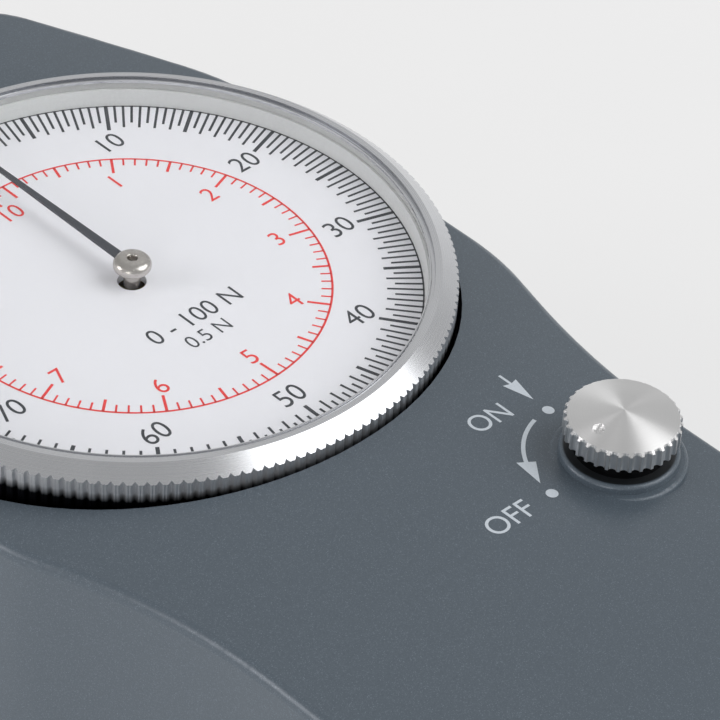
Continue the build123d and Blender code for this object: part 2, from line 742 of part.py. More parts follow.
def arborBushes():
    """Four jewel-like bushes: two for the pointer arbor, two for the idler arbor."""
    places = [(0, dialY, plateHeight, plateTop, pointerArborRadius),
              (0, dialY, bridgeZ, bridgeZ + plateThick, pointerArborRadius),
              (idlerX, idlerY, idlerPostTop - lugThick / 2, idlerPostTop, idlerArborRadius),
              (idlerX, idlerY, bridgeZ, bridgeZ + plateThick, idlerArborRadius)]
    return Compound(children=[ring(r + arborGap, jewelRadius, z0, z1, x, y) for x, y, z0, z1, r in places])


def idlerArbor():
    body = rod(idlerArborRadius, idlerPostTop - lugThick + 1, bridgeZ + plateThick, idlerX, idlerY)
    return chamfer(body.edges().filter_by(GeomType.CIRCLE), idlerArborRadius / 4)


def rackPinion():
    face = Pos(idlerX, idlerY) * gearFace(rackPinionTeeth, rackModule, 0)
    body = plate(face, rackHeight + pinionGap, rackHeight + rackThick - pinionGap)
    return body - rod(idlerArborRadius + seatGap, rackHeight - 1, rackHeight + rackThick + 1, idlerX, idlerY)


def idlerGear():
    """Large gear with a hub and five spokes; one tooth points at the pointer arbor."""
    toPointer = degrees(atan2(dialY - idlerY, -idlerX))
    face = gearFace(idlerTeeth, trainModule, toPointer)
    inner = idlerArborRadius + 2
    outer = idlerPitch - 3 * trainModule - 1
    middle = (inner + outer) / 2
    holes = [loc * Circle((outer - inner) / 2) for loc in PolarLocations(middle, 5)]
    face -= holes
    body = plate(Pos(idlerX, idlerY) * face, idlerZ, idlerZ + idlerThick)
    body += rod(inner, idlerZ - gearGap / 2, idlerZ + idlerThick + gearGap / 3, idlerX, idlerY)
    return body - rod(idlerArborRadius + seatGap, idlerZ - 2, idlerZ + idlerThick + 2, idlerX, idlerY)


def pointerArbor():
    """Slim arbor, turned down above the bridge where it carries the hub."""
    shoulder = dialZ - dialThick - 1
    body = rod(pointerArborRadius, plateHeight + 0.1, shoulder, 0, dialY)
    return body + rod(spindleRadius, shoulder - 1, dialZ + pointerHeight + pointerThick, 0, dialY)


def centrePinion():
    toIdler = degrees(atan2(idlerY - dialY, idlerX))
    face = Pos(0, dialY) * gearFace(pinionTeeth, trainModule, toIdler + 180 / pinionTeeth)
    body = plate(face, idlerZ - pinionGap, idlerZ + idlerThick + pinionGap)
    return body - rod(pointerArborRadius + seatGap, idlerZ - 1, idlerZ + idlerThick + 1, 0, dialY)


def hairZ():
    return bridgeZ - hairWide - 0.5


def hairCollet():
    return ring(pointerArborRadius + seatGap, hairInner - 0.3, hairZ(), hairZ() + hairWide, 0, dialY)


def studSpot():
    return (hairOuter, dialY)


def hairStud():
    """Pin in the bridge that holds the outer end of the hairspring."""
    x, y = studSpot()
    return rod(0.5, hairZ(), bridgeZ + plateThick, x, y)


def hairspring():
    """Flat spiral from the collet out to the stud."""
    grow = (hairOuter - 0.6 - hairInner - hairThick / 2) / hairTurns
    steps = 12 * hairTurns
    spots = []
    for k in range(steps + 1):
        turn = k / 12
        r = hairInner + hairThick / 2 + grow * turn
        spots.append((r * cos(2 * pi * turn), r * sin(2 * pi * turn)))
    path = Spline(*spots)
    ribbon = trace(path, hairThick)
    return plate(Pos(0, dialY) * ribbon, hairZ(), hairZ() + hairWide)


# ---- pointer ------------------------------------------------------------------------------

def pointer():
    """Tapered pointer at rest on zero."""
    low = dialZ + pointerHeight
    face = make_face(Polyline((-pointerRoot / 2, 0), (pointerRoot / 2, 0), (pointerTip / 2, pointerLength),
                              (-pointerTip / 2, pointerLength), close=True))
    face += Circle(pointerEye)
    face -= Circle(postRadius + seatGap)
    return plate(Pos(0, dialY) * face, low, low + pointerThick)


def pointerHub():
    """Domed cap with a tube that grips the arbor; its skirt goes round the pointer's eye."""
    seat = dialZ + pointerHeight + pointerThick
    foot = seat - hubSkirt
    top = seat + hubThick
    eye = pointerEye + hubGap
    crest = top + hubDome
    bore = spindleRadius + seatGap
    profile = [(bore, dialZ - dialThick), (postRadius, dialZ - dialThick), (postRadius, seat), (eye, seat),
               (eye, foot), (hubRadius - hubEdge, foot), (hubRadius, foot + hubEdge), (hubRadius, top),
               (hubRadius * 0.75, top + hubDome * 0.6), (bore + hubEdge, crest), (bore, crest - hubEdge)]
    slot = pointerRoot / 2 + hubGap
    start = dialY + (postRadius + eye) / 2
    return turned(profile, 0, dialY) - block(-slot, slot, start, dialY + 2 * eye, foot - 1, seat)


# ---- bezel --------------------------------------------------------------------------------

def bezel():
    """Turned ring: fine teeth round its side, a sloping face, and a ledge inside for the dial."""
    low = floorZ + washerThick + washerGap
    top = dialZ + bezelRise
    collar = spigotRadius + turningGap
    seat = dialZ - dialThick
    profile = [(collar, low), (bezelRadius, low), (bezelRadius, top - coneDrop), (coneInner, top),
               (bezelBore + boreChamfer, top - boreChamfer), (bezelBore, top - 2 * boreChamfer),
               (bezelBore, seat), (ledgeInner, seat), (ledgeInner, ledgeZ), (collar, ledgeZ)]
    body = turned(profile)
    teeth = []
    for tooth in range(bezelTeeth):
        crest = 2 * pi * tooth / bezelTeeth
        root = crest + pi / bezelTeeth
        teeth.append((bezelRadius * cos(crest), bezelRadius * sin(crest)))
        teeth.append(((bezelRadius - toothDepth) * cos(root), (bezelRadius - toothDepth) * sin(root)))
    body &= plate(make_face(Polyline(*teeth, close=True)), low - 1, top + 1)
    groove = spigotRadius + snapWire / 2 + snapGap
    body -= ring(spigotRadius - 1, groove, snapZ - snapGap, snapZ + snapWire + snapGap)
    return Pos(0, dialY, 0) * body


def dialPlate():
    return ring(dialBore, bezelBore - seatGap, dialZ - dialThick, dialZ, 0, dialY)


def spacerRing():
    """Thin ring between dial and lens; it flares a little towards the lens."""
    outer = bezelBore - seatGap
    return turned([(dialRadius, dialZ), (outer, dialZ), (outer, dialZ + lensSeat),
                   (dialRadius + spacerTaper, dialZ + lensSeat)], 0, dialY)


def lensCurve():
    """Radius of the sphere that the lens is a cap of."""
    edge = bezelBore - seatGap
    return (edge**2 + lensRise**2) / (2 * lensRise)


def lens():
    """Shallow domed crystal."""
    edge = bezelBore - seatGap
    curve = lensCurve()
    low = dialZ + lensSeat
    outer = Pos(0, dialY, low + lensThick + lensRise - curve) * Sphere(curve)
    inner = Pos(0, dialY, low + lensRise - curve) * Sphere(curve)
    return (rod(edge, low, low + lensThick + lensRise + 1, 0, dialY) & outer) - inner


def lensRetainer():
    """Ring that presses on the rim of the lens."""
    edge = bezelBore - seatGap
    inner = edge - spacerWide + spacerTaper
    low = dialZ + lensSeat + lensThick + lensRise - lensCurve() + sqrt(lensCurve()**2 - inner**2) + seatGap
    return ring(inner, edge, low, low + retainerThick, 0, dialY)


def snapRing():
    """Wire ring, open at one side, that keeps the bezel on its collar."""
    inner = spigotRadius - snapWire / 2 + seatGap
    top = snapZ + snapWire
    wire = ring(inner, spigotRadius + snapWire / 2, snapZ, top, 0, dialY)
    return wire - block(-snapWire * 2, snapWire * 2, dialY, dialY + 2 * spigotRadius, snapZ - 1, top + 1)


def frictionWasher():
    inner = (spigotRadius + recessRadius - washerWide) / 2
    return ring(inner, inner + washerWide, floorZ, floorZ + washerThick, 0, dialY)


# ---- knob and peak hold -------------------------------------------------------------------

def knob():
    """Fluted knob with a dimple that points at the chosen setting."""
    low = dialZ + knobTop - knobThick
    rim = dialZ + knobTop
    crest = rim + knobDome
    inner = knobRadius - knobEdge
    curve = (inner**2 + knobDome**2) / (2 * knobDome)
    shoulder = (inner / 2, 0, crest - curve + sqrt(curve**2 - (inner / 2)**2))
    profile = Polyline((0, 0, crest), (0, 0, low), (inner, 0, low), (knobRadius, 0, low + knobEdge),
                       (knobRadius, 0, rim - knobEdge), (inner, 0, rim))
    profile += ThreePointArc((inner, 0, rim), shoulder, (0, 0, crest))
    flutes = [loc * Circle(fluteRadius) for loc in PolarLocations(knobRadius, knobFlutes)]
    body = revolve(make_face(profile), Axis.Z, 360) & plate(Circle(knobRadius) - flutes, low, crest)
    body -= rod(knobShaftRadius + seatGap, low - 1, low + knobHold)
    dimple = crest - curve + sqrt(curve**2 - dimpleReach**2)
    body -= Pos(-dimpleReach, 0, dimple - dimpleDepth) * Cone(dimpleRadius / 3, dimpleRadius, dimpleDepth,
                                                            align=standing)
    return Pos(knobX, knobY, 0) * body


def camZ():
    return idlerZ + (idlerThick - camThick) / 2


def knobShaft():
    return rod(knobShaftRadius, camZ() - 0.5, dialZ + knobTop - knobThick + knobHold, knobX, knobY)


def knobBush():
    top = dialZ + collarRise - 0.3
    return ring(knobShaftRadius + turningGap, knobBushRadius, top - knobBushLength, top, knobX, knobY)


def knobClip():
    top = dialZ + collarRise - 0.3 - knobBushLength - 0.2
    return ring(knobShaftRadius + seatGap, clipRadius, top - clipThick, top, knobX, knobY)


def leverDirections():
    """Unit vector along the long arm of the lever, and the one square to it that the cam pushes along."""
    dx = knobX - leverX
    dy = knobY - leverY
    reach = hypot(dx, dy)
    side = asin((camLow() + camGap + leverWide / 2) / reach)
    angle = atan2(dy, dx) + side
    return (cos(angle), sin(angle)), (-sin(angle), cos(angle))


def camLow():
    return sqrt(camRadius**2 - camThrow**2)


def holdCam():
    """Eccentric disc; with the hold off its high side points along the lever, away from the post side."""
    along, push = leverDirections()
    x = knobX - camThrow * push[1]
    y = knobY + camThrow * push[0]
    low = camZ()
    body = rod(camRadius, low, low + camThick, x, y)
    body += rod(camHub, low + camThick, low + camThick + camHubThick, knobX, knobY)
    body -= rod(knobShaftRadius + seatGap, low - 1, low + 10, knobX, knobY)
    return body - camScrewHole(seatGap)


def camScrewHole(gap):
    """Radial hole or screw in the hub of the cam."""
    start = knobShaftRadius + seatGap
    return Pos(knobX - start, knobY, camZ() + camThick + camHubThick / 2) * Rot(0, -90, 0) * Cylinder(
        camScrewRadius + gap, camHub, align=standing)


def camScrew():
    length = camHub - knobShaftRadius + 0.3
    return Pos(knobX - knobShaftRadius - seatGap, knobY, camZ() + camThick + camHubThick / 2) * Rot(
        0, -90, 0) * Cylinder(camScrewRadius, length, align=standing)


def armFace(x0, y0, x1, y1, wide0, wide1):
    """Tapered arm with round ends."""
    angle = atan2(y1 - y0, x1 - x0)
    nx, ny = -sin(angle), cos(angle)
    corners = [(x0 + nx * wide0, y0 + ny * wide0), (x1 + nx * wide1, y1 + ny * wide1),
               (x1 - nx * wide1, y1 - ny * wide1), (x0 - nx * wide0, y0 - ny * wide0)]
    arm = make_face(Polyline(*corners, close=True))
    return arm + Pos(x0, y0) * Circle(wide0) + Pos(x1, y1) * Circle(wide1)


def holdLever():
    """Two-armed lever: the cam lifts its long arm and the pad on its short arm closes on the idler gear."""
    along, push = leverDirections()
    reach = hypot(knobX - leverX, knobY - leverY)
    endX = leverX + along[0] * reach
    endY = leverY + along[1] * reach
    half = leverWide / 2
    face = armFace(leverX, leverY, endX, endY, half, half)
    out = radians(padAngle)
    tipX = padX + (padDeep + half) * cos(out)
    tipY = padY + (padDeep + half) * sin(out)
    face += armFace(leverX, leverY, tipX, tipY, half, half)
    body = plate(face, idlerZ, idlerZ + leverThick)
    body -= plate(padFace(seatGap), idlerZ - 1, idlerZ + leverThick + 1)
    return body - rod(leverPostRadius + turningGap, idlerZ - 1, idlerZ + leverThick + 1, leverX, leverY)


def padFace(gap):
    depth = padDeep + 0.8
    face = Rectangle(depth + gap, padWide + 2 * gap, align=(Align.MIN, Align.CENTER))
    return Pos(padX, padY) * Rot(0, 0, padAngle) * face


def brakePad():
    return plate(padFace(0), idlerZ, idlerZ + leverThick)


def leverPost():
    top = idlerZ + leverThick
    body = rod(leverPostRadius, plateHeight, top + 0.6, leverX, leverY)
    return body + rod(leverPostHead, top + 0.1, top + 0.6, leverX, leverY)


def leverSpring():
    """Torsion spring round the post, under the lever."""
    wire = leverSpringWire
    turns = coil(leverPostRadius + wire + 0.2, wire, 1.5, 2.4 * wire)
    return Pos(leverX, leverY, idlerZ - 2.4 * wire - 0.02) * turns


# ---- all pieces ---------------------------------------------------------------------------

pieces = {
    "front_housing": frontHousing,
    "rear_cover": rearCover,
    "housing_screws": housingScrews,
    "nose_bush": noseBush,
    "tail_insert": tailInsert,
    "mount_inserts": mountInserts,
    "chassis": chassis,
    "chassis_screws": chassisScrews,
    "shaft_bushes": shaftBushes,
    "guide_rod": guideRod,
    "measuring_shaft": measuringShaft,
    "lock_nut": lockNut,
    "drive_block": driveBlock,
    "rack": rack,
    "rack_screws": rackScrews,
    "spring_collar": springCollar,
    "set_screw": setScrew,
    "upper_spring": lambda: loadSpring(collarY),
    "lower_spring": lambda: loadSpring(lowerLugY + lugThick),
    "movement_plate": movementPlate,
    "movement_pillars": movementPillars,
    "movement_screws": movementScrews,
    "bridge_plate": bridgePlate,
    "bridge_pillars": bridgePillars,
    "bridge_screws": bridgeScrews,
    "arbor_bushes": arborBushes,
    "idler_arbor": idlerArbor,
    "rack_pinion": rackPinion,
    "idler_gear": idlerGear,
    "pointer_arbor": pointerArbor,
    "centre_pinion": centrePinion,
    "hairspring_collet": hairCollet,
    "hairspring_stud": hairStud,
    "hairspring": hairspring,
    "pointer": pointer,
    "pointer_hub": pointerHub,
    "bezel": bezel,
    "dial_plate": dialPlate,
    "spacer_ring": spacerRing,
    "lens": lens,
    "lens_retainer": lensRetainer,
    "snap_ring": snapRing,
    "friction_washer": frictionWasher,
    "knob": knob,
    "knob_shaft": knobShaft,
    "knob_bush": knobBush,
    "knob_clip": knobClip,
    "hold_cam": holdCam,
    "cam_screw": camScrew,
    "hold_lever": holdLever,
    "brake_pad": brakePad,
    "lever_post": leverPost,
    "lever_spring": leverSpring,
}

os.makedirs("parts", exist_ok=True)
for name, make in pieces.items():
    show(make(), name)
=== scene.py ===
import bpy
import bmesh
from math import cos, pi, radians, sin, sqrt
from mathutils import Matrix, Vector


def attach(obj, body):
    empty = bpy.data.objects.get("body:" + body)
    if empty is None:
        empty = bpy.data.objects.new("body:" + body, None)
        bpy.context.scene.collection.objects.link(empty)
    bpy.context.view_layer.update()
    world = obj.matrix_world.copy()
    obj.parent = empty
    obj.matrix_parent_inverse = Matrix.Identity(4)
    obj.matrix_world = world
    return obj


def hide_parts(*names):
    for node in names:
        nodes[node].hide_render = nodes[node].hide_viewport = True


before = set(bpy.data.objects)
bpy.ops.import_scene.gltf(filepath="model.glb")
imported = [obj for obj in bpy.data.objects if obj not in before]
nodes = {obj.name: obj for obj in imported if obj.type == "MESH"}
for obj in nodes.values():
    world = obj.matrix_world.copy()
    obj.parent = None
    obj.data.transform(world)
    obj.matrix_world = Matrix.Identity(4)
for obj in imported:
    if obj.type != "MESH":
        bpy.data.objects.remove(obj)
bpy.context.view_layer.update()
mm = 0.001
print("frame loaded:", len(nodes), "nodes")

# places that several pieces share, in millimetres
gauge = {
    "dialX": 0.0,
    "dialY": 33.0,
    "dialZ": 43.0,            # face of the dial
    "dialEdge": 25.69,        # dial inside the spacer ring
    "teethDark": 43.0,        # painted shade: the teeth are painted black below this, for the shade of the recess
    "teethBright": 43.9,      # and bare metal above this
    "seamZ": 19.0,            # where the two shells meet
    "crest": 44.0,            # highest line of the crowned front face
    "crownRadius": 150.0,
    "knobX": 15.43,
    "knobY": -10.97,
    "shaftZ": 19.0,
}


def crownHeight(x):
    # height of the painted front face, x to the side of the middle line
    return gauge["crest"] - gauge["crownRadius"] + sqrt(gauge["crownRadius"] ** 2 - x * x)


# camera
camera = {
    "place": (-0.172017, -0.157467, 0.251271),
    "aim": (0.007917, 0.012403, 0.043),
    "roll": radians(3.9095),
    "lens": 188.1006,
}

cameraData = bpy.data.cameras.new("camera")
cameraData.lens = camera["lens"]
cameraData.sensor_width = 36.0
cameraData.clip_start = 0.01
cameraData.clip_end = 20.0
cameraObject = bpy.data.objects.new("camera", cameraData)
bpy.context.scene.collection.objects.link(cameraObject)
forward = (Vector(camera["aim"]) - Vector(camera["place"])).normalized()
level = forward.cross(Vector((0, 0, 1))).normalized()
right = level * cos(camera["roll"]) + level.cross(forward) * sin(camera["roll"])
axes = Matrix((right, right.cross(forward), -forward)).transposed()
cameraObject.matrix_world = Matrix.Translation(camera["place"]) @ axes.to_4x4()
bpy.context.scene.camera = cameraObject
print("camera placed")


# material helpers
def newMaterial(name):
    # an empty node material with one principled shader on its output
    material = bpy.data.materials.new(name)
    material.use_nodes = True
    tree = material.node_tree
    tree.nodes.clear()
    output = tree.nodes.new("ShaderNodeOutputMaterial")
    shader = tree.nodes.new("ShaderNodeBsdfPrincipled")
    tree.links.new(shader.outputs["BSDF"], output.inputs["Surface"])
    return material, tree, shader


def addNode(tree, kind, **settings):
    node = tree.nodes.new(kind)
    for key, value in settings.items():
        if key in node.inputs:
            node.inputs[key].default_value = value
        else:
            setattr(node, key, value)
    return node


def objectPlace(tree):
    return addNode(tree, "ShaderNodeTexCoord").outputs["Object"]


def noise(tree, place, scale, detail=3.0):
    # even noise over a solid; scale is in spots to the metre
    node = addNode(tree, "ShaderNodeTexNoise", Scale=scale, Detail=detail)
    tree.links.new(place, node.inputs["Vector"])
    return node.outputs["Fac"]


def ramp(tree, value, stops):
    node = addNode(tree, "ShaderNodeValToRGB")
    elements = node.color_ramp.elements
    while len(elements) < len(stops):
        elements.new(0.5)
    for element, (position, colour) in zip(elements, stops):
        element.position = position
        element.color = (*colour, 1.0)
    tree.links.new(value, node.inputs["Fac"])
    return node.outputs["Color"]


def spread(tree, value, low, high):
    # a 0 to 1 value moved to the range low to high
    node = addNode(tree, "ShaderNodeMapRange")
    node.inputs["To Min"].default_value = low
    node.inputs["To Max"].default_value = high
    tree.links.new(value, node.inputs["Value"])
    return node.outputs["Result"]


def bump(tree, height, depth, shader, strength=1.0):
    # depth in millimetres
    node = addNode(tree, "ShaderNodeBump", Strength=strength, Distance=depth * mm)
    tree.links.new(height, node.inputs["Height"])
    tree.links.new(node.outputs["Normal"], shader.inputs["Normal"])
    return node


def ringDistance(tree, place, centre, axis):
    # distance from a turning axis, in metres
    shift = addNode(tree, "ShaderNodeVectorMath", operation="SUBTRACT")
    shift.inputs[1].default_value = [c * mm for c in centre]
    flat = addNode(tree, "ShaderNodeVectorMath", operation="MULTIPLY")
    flat.inputs[1].default_value = [0.0 if k == axis else 1.0 for k in range(3)]
    length = addNode(tree, "ShaderNodeVectorMath", operation="LENGTH")
    tree.links.new(place, shift.inputs[0])
    tree.links.new(shift.outputs["Vector"], flat.inputs[0])
    tree.links.new(flat.outputs["Vector"], length.inputs[0])
    return length.outputs["Value"]


def lineNoise(tree, value, scale, detail=2.0):
    # noise along one value only, for lathe lines
    node = addNode(tree, "ShaderNodeTexNoise", noise_dimensions="1D", Scale=scale, Detail=detail)
    tree.links.new(value, node.inputs["W"])
    return node.outputs["Fac"]


def mixColour(tree, factor, first, second):
    node = addNode(tree, "ShaderNodeMix", data_type="RGBA")
    for value, socket in ((factor, 0), (first, 6), (second, 7)):
        if isinstance(value, (int, float)):
            node.inputs[socket].default_value = value
        elif isinstance(value, tuple):
            node.inputs[socket].default_value = (*value, 1.0)
        else:
            tree.links.new(value, node.inputs[socket])
    return node.outputs[2]


def heightOf(tree, place):
    # height above the floor, in metres
    split = addNode(tree, "ShaderNodeSeparateXYZ")
    tree.links.new(place, split.inputs["Vector"])
    return split.outputs["Z"]


def within(tree, value, edge, soft):
    # 1 below an edge, 0 above it; both in millimetres
    fall = addNode(tree, "ShaderNodeMapRange")
    ends = {"From Min": edge * mm, "From Max": (edge + soft) * mm, "To Min": 1.0, "To Max": 0.0}
    for socket, number in ends.items():
        fall.inputs[socket].default_value = number
    tree.links.new(value, fall.inputs["Value"])
    return fall.outputs["Result"]


def band(tree, value, middle, half, soft):
    # 1 inside a band about the middle, 0 outside it; all in millimetres
    away = addNode(tree, "ShaderNodeMath", operation="SUBTRACT")
    away.inputs[1].default_value = middle * mm
    size = addNode(tree, "ShaderNodeMath", operation="ABSOLUTE")
    tree.links.new(value, away.inputs[0])
    tree.links.new(away.outputs["Value"], size.inputs[0])
    return within(tree, size.outputs["Value"], half, soft)


def paint(name, look):
    # fine metallic paint: soft grain, small flakes, a slight orange peel, a painted shadow in the seam and
    # painted shade under the knob
    material, tree, shader = newMaterial(name)
    place = objectPlace(tree)
    grain = noise(tree, place, look["grainScale"], 3.0)
    fine = ramp(tree, grain, [(0.38, look["dark"]), (0.62, look["light"])])
    cloud = noise(tree, place, look["cloudScale"], 2.0)
    base = mixColour(tree, spread(tree, cloud, 0.0, look["cloudShare"]), fine, look["light"])
    flakes = addNode(tree, "ShaderNodeTexVoronoi", Scale=look["flakeScale"])
    tree.links.new(place, flakes.inputs["Vector"])
    separate = addNode(tree, "ShaderNodeSeparateColor")
    tree.links.new(flakes.outputs["Color"], separate.inputs["Color"])
    shine = ramp(tree, separate.outputs["Red"], [(look["flakeShare"], (0, 0, 0)), (1.0, (1, 1, 1))])
    coloured = mixColour(tree, shine, base, look["flake"])
    seam = band(tree, heightOf(tree, place), gauge["seamZ"], look["seamHalf"], 0.03)
    coloured = mixColour(tree, seam, coloured, look["seam"])
    # painted shade: the collar under the knob is painted black inside, for the shade beneath the knob
    knobShade = addNode(tree, "ShaderNodeMath", operation="MULTIPLY")
    above = addNode(tree, "ShaderNodeMath", operation="GREATER_THAN")
    above.inputs[1].default_value = look["knobShadeLow"] * mm
    tree.links.new(heightOf(tree, place), above.inputs[0])
    tree.links.new(above.outputs["Value"], knobShade.inputs[0])
    tree.links.new(within(tree, ringDistance(tree, place, look["knobShadeAt"], 2), look["knobShade"], 0.15),
                   knobShade.inputs[1])
    coloured = mixColour(tree, knobShade.outputs["Value"], coloured, look["seam"])
    tree.links.new(coloured, shader.inputs["Base Color"])
    wear = noise(tree, place, 300.0, 4.0)
    tree.links.new(spread(tree, wear, look["rough"] - 0.05, look["rough"] + 0.05),
                   shader.inputs["Roughness"])
    shader.inputs["Metallic"].default_value = look["metallic"]
    shader.inputs["Specular IOR Level"].default_value = 0.6
    bump(tree, noise(tree, place, look["peelScale"], 2.0), look["peelDepth"], shader)
    return material


def metal(name, look):
    # bare metal with a fine even grain
    material, tree, shader = newMaterial(name)
    place = objectPlace(tree)
    cloud = noise(tree, place, look.get("cloudScale", 250.0), 4.0)
    tree.links.new(ramp(tree, cloud, [(0.3, look["dark"]), (0.7, look["light"])]),
                   shader.inputs["Base Color"])
    grain = noise(tree, place, look.get("grainScale", 6000.0), 3.0)
    tree.links.new(spread(tree, grain, look["rough"] - 0.06, look["rough"] + 0.06),
                   shader.inputs["Roughness"])
    shader.inputs["Metallic"].default_value = look.get("metallic", 1.0)
    bump(tree, grain, look.get("depth", 0.004), shader)
    return material


def turned(name, look):
    # lathe-turned metal: fine rings round an axis and a stretched highlight
    material, tree, shader = newMaterial(name)
    place = objectPlace(tree)
    distance = ringDistance(tree, place, look["centre"], look["axis"])
    rings = lineNoise(tree, distance, look["lines"])
    soft = noise(tree, place, 400.0, 3.0)
    tone = mixColour(tree, soft, look["dark"], look["light"])
    shade = ramp(tree, rings, [(0.25, look["groove"]), (0.75, (1, 1, 1))])
    multiply = addNode(tree, "ShaderNodeMix", data_type="RGBA", blend_type="MULTIPLY")
    multiply.inputs[0].default_value = 1.0
    tree.links.new(tone, multiply.inputs[6])
    tree.links.new(shade, multiply.inputs[7])
    colour = multiply.outputs[2]
    # painted shade: below the given heights the metal fades to near black, for the shade in the recess
    # round the bezel
    if "shadeBelow" in look:
        low, high = look["shadeBelow"]
        fade = addNode(tree, "ShaderNodeMapRange")
        fade.inputs["From Min"].default_value = low * mm
        fade.inputs["From Max"].default_value = high * mm
        tree.links.new(heightOf(tree, place), fade.inputs["Value"])
        colour = mixColour(tree, fade.outputs["Result"], (0.006, 0.006, 0.008), colour)
    tree.links.new(colour, shader.inputs["Base Color"])
    tree.links.new(spread(tree, rings, look["rough"] - 0.04, look["rough"] + 0.08),
                   shader.inputs["Roughness"])
    shader.inputs["Metallic"].default_value = 1.0
    shader.inputs["Anisotropic"].default_value = look["stretch"]
    shader.inputs["Anisotropic Rotation"].default_value = 0.25
    tangent = addNode(tree, "ShaderNodeTangent", direction_type="RADIAL", axis="XYZ"[look["axis"]])
    tree.links.new(tangent.outputs["Tangent"], shader.inputs["Tangent"])
    bump(tree, rings, look["depth"], shader)
    return material


def ink(name, look):
    # printed ink, a little uneven in tone
    material, tree, shader = newMaterial(name)
    place = objectPlace(tree)
    cloud = noise(tree, place, 5000.0, 3.0)
    tree.links.new(ramp(tree, cloud, [(0.3, look["dark"]), (0.7, look["light"])]),
                   shader.inputs["Base Color"])
    shader.inputs["Roughness"].default_value = look["rough"]
    bump(tree, cloud, 0.002, shader)
    return material


# finishes
bodyPaint = paint("bodyPaint", {
    "dark": (0.083, 0.107, 0.132), "light": (0.102, 0.130, 0.158), "flake": (0.16, 0.20, 0.24),
    "seam": (0.012, 0.014, 0.016), "seamHalf": 0.05, "flakeScale": 15000.0, "flakeShare": 0.86,
    "grainScale": 9000.0, "cloudScale": 900.0, "cloudShare": 0.4, "metallic": 0.1, "rough": 0.31,
    "peelScale": 4500.0, "peelDepth": 0.002, "knobShadeAt": (gauge["knobX"], gauge["knobY"], 0.0),
    "knobShade": 4.7, "knobShadeLow": 38.0})
dialCentre = (gauge["dialX"], gauge["dialY"], gauge["dialZ"])
bezelMetal = turned("bezelMetal", {
    "centre": dialCentre, "axis": 2, "lines": 14000.0, "dark": (0.66, 0.67, 0.69),
    "light": (0.71, 0.72, 0.74), "groove": (0.95, 0.95, 0.96), "rough": 0.24, "stretch": 0.3,
    "depth": 0.0004})
knurlMetal = turned("knurlMetal", {
    "centre": dialCentre, "axis": 2, "lines": 14000.0, "dark": (0.66, 0.67, 0.69),
    "light": (0.71, 0.72, 0.74), "groove": (0.9, 0.9, 0.9), "rough": 0.42, "stretch": 0.0,
    "depth": 0.0004, "shadeBelow": (gauge["teethDark"], gauge["teethBright"])})
knobMetal = turned("knobMetal", {
    "centre": (gauge["knobX"], gauge["knobY"], 47.0), "axis": 2, "lines": 16000.0,
    "dark": (0.83, 0.83, 0.83), "light": (0.89, 0.89, 0.89), "groove": (0.95, 0.95, 0.95), "rough": 0.42,
    "stretch": 0.85, "depth": 0.0004})
knobSide = metal("knobSide", {"dark": (0.72, 0.72, 0.72), "light": (0.80, 0.80, 0.80), "rough": 0.34})
groundSteel = turned("groundSteel", {
    "centre": (0.0, 0.0, gauge["shaftZ"]), "axis": 1, "lines": 12000.0, "dark": (0.52, 0.52, 0.53),
    "light": (0.60, 0.60, 0.61), "groove": (0.9, 0.9, 0.9), "rough": 0.2, "stretch": 0.5, "depth": 0.0008})
castMetal = metal("castMetal", {
    "dark": (0.42, 0.42, 0.43), "light": (0.52, 0.52, 0.53), "rough": 0.5, "grainScale": 1800.0,
    "depth": 0.02})
springMetal = metal("springMetal", {"dark": (0.20, 0.20, 0.21), "light": (0.30, 0.30, 0.31), "rough": 0.35})
# painted shade: near-black metal for the bush under the knob, for the shade in the gap beneath the knob
shadeBlackMetal = metal("shadeBlackMetal", {"dark": (0.012, 0.013, 0.015), "light": (0.02, 0.021, 0.024),
                                  "rough": 0.4})
platedMetal = metal("platedMetal", {"dark": (0.50, 0.50, 0.52), "light": (0.60, 0.60, 0.62), "rough": 0.25})
brassMetal = metal("brassMetal", {"dark": (0.55, 0.38, 0.14), "light": (0.66, 0.47, 0.19), "rough": 0.3})
hubMetal = metal("hubMetal", {"dark": (0.50, 0.47, 0.44), "light": (0.60, 0.57, 0.54), "rough": 0.25})
enamel = ink("enamel", {"dark": (0.765, 0.762, 0.800), "light": (0.790, 0.787, 0.825), "rough": 0.45})
ringGrey = ink("ringGrey", {"dark": (0.62, 0.63, 0.63), "light": (0.67, 0.68, 0.68), "rough": 0.4})
groundEdge = ink("groundEdge", {"dark": (0.50, 0.51, 0.51), "light": (0.55, 0.56, 0.56), "rough": 0.6})
needlePaint = ink("needlePaint", {"dark": (0.043, 0.046, 0.056), "light": (0.057, 0.061, 0.073),
                                  "rough": 0.5})
blackInk = ink("blackInk", {"dark": (0.040, 0.044, 0.052), "light": (0.058, 0.063, 0.072), "rough": 0.6})
redInk = ink("redInk", {"dark": (0.74, 0.045, 0.045), "light": (0.82, 0.065, 0.060), "rough": 0.6})
whiteInk = ink("whiteInk", {"dark": (0.60, 0.66, 0.72), "light": (0.66, 0.72, 0.78), "rough": 0.5})
padRubber = ink("padRubber", {"dark": (0.02, 0.02, 0.02), "light": (0.03, 0.03, 0.03), "rough": 0.8})


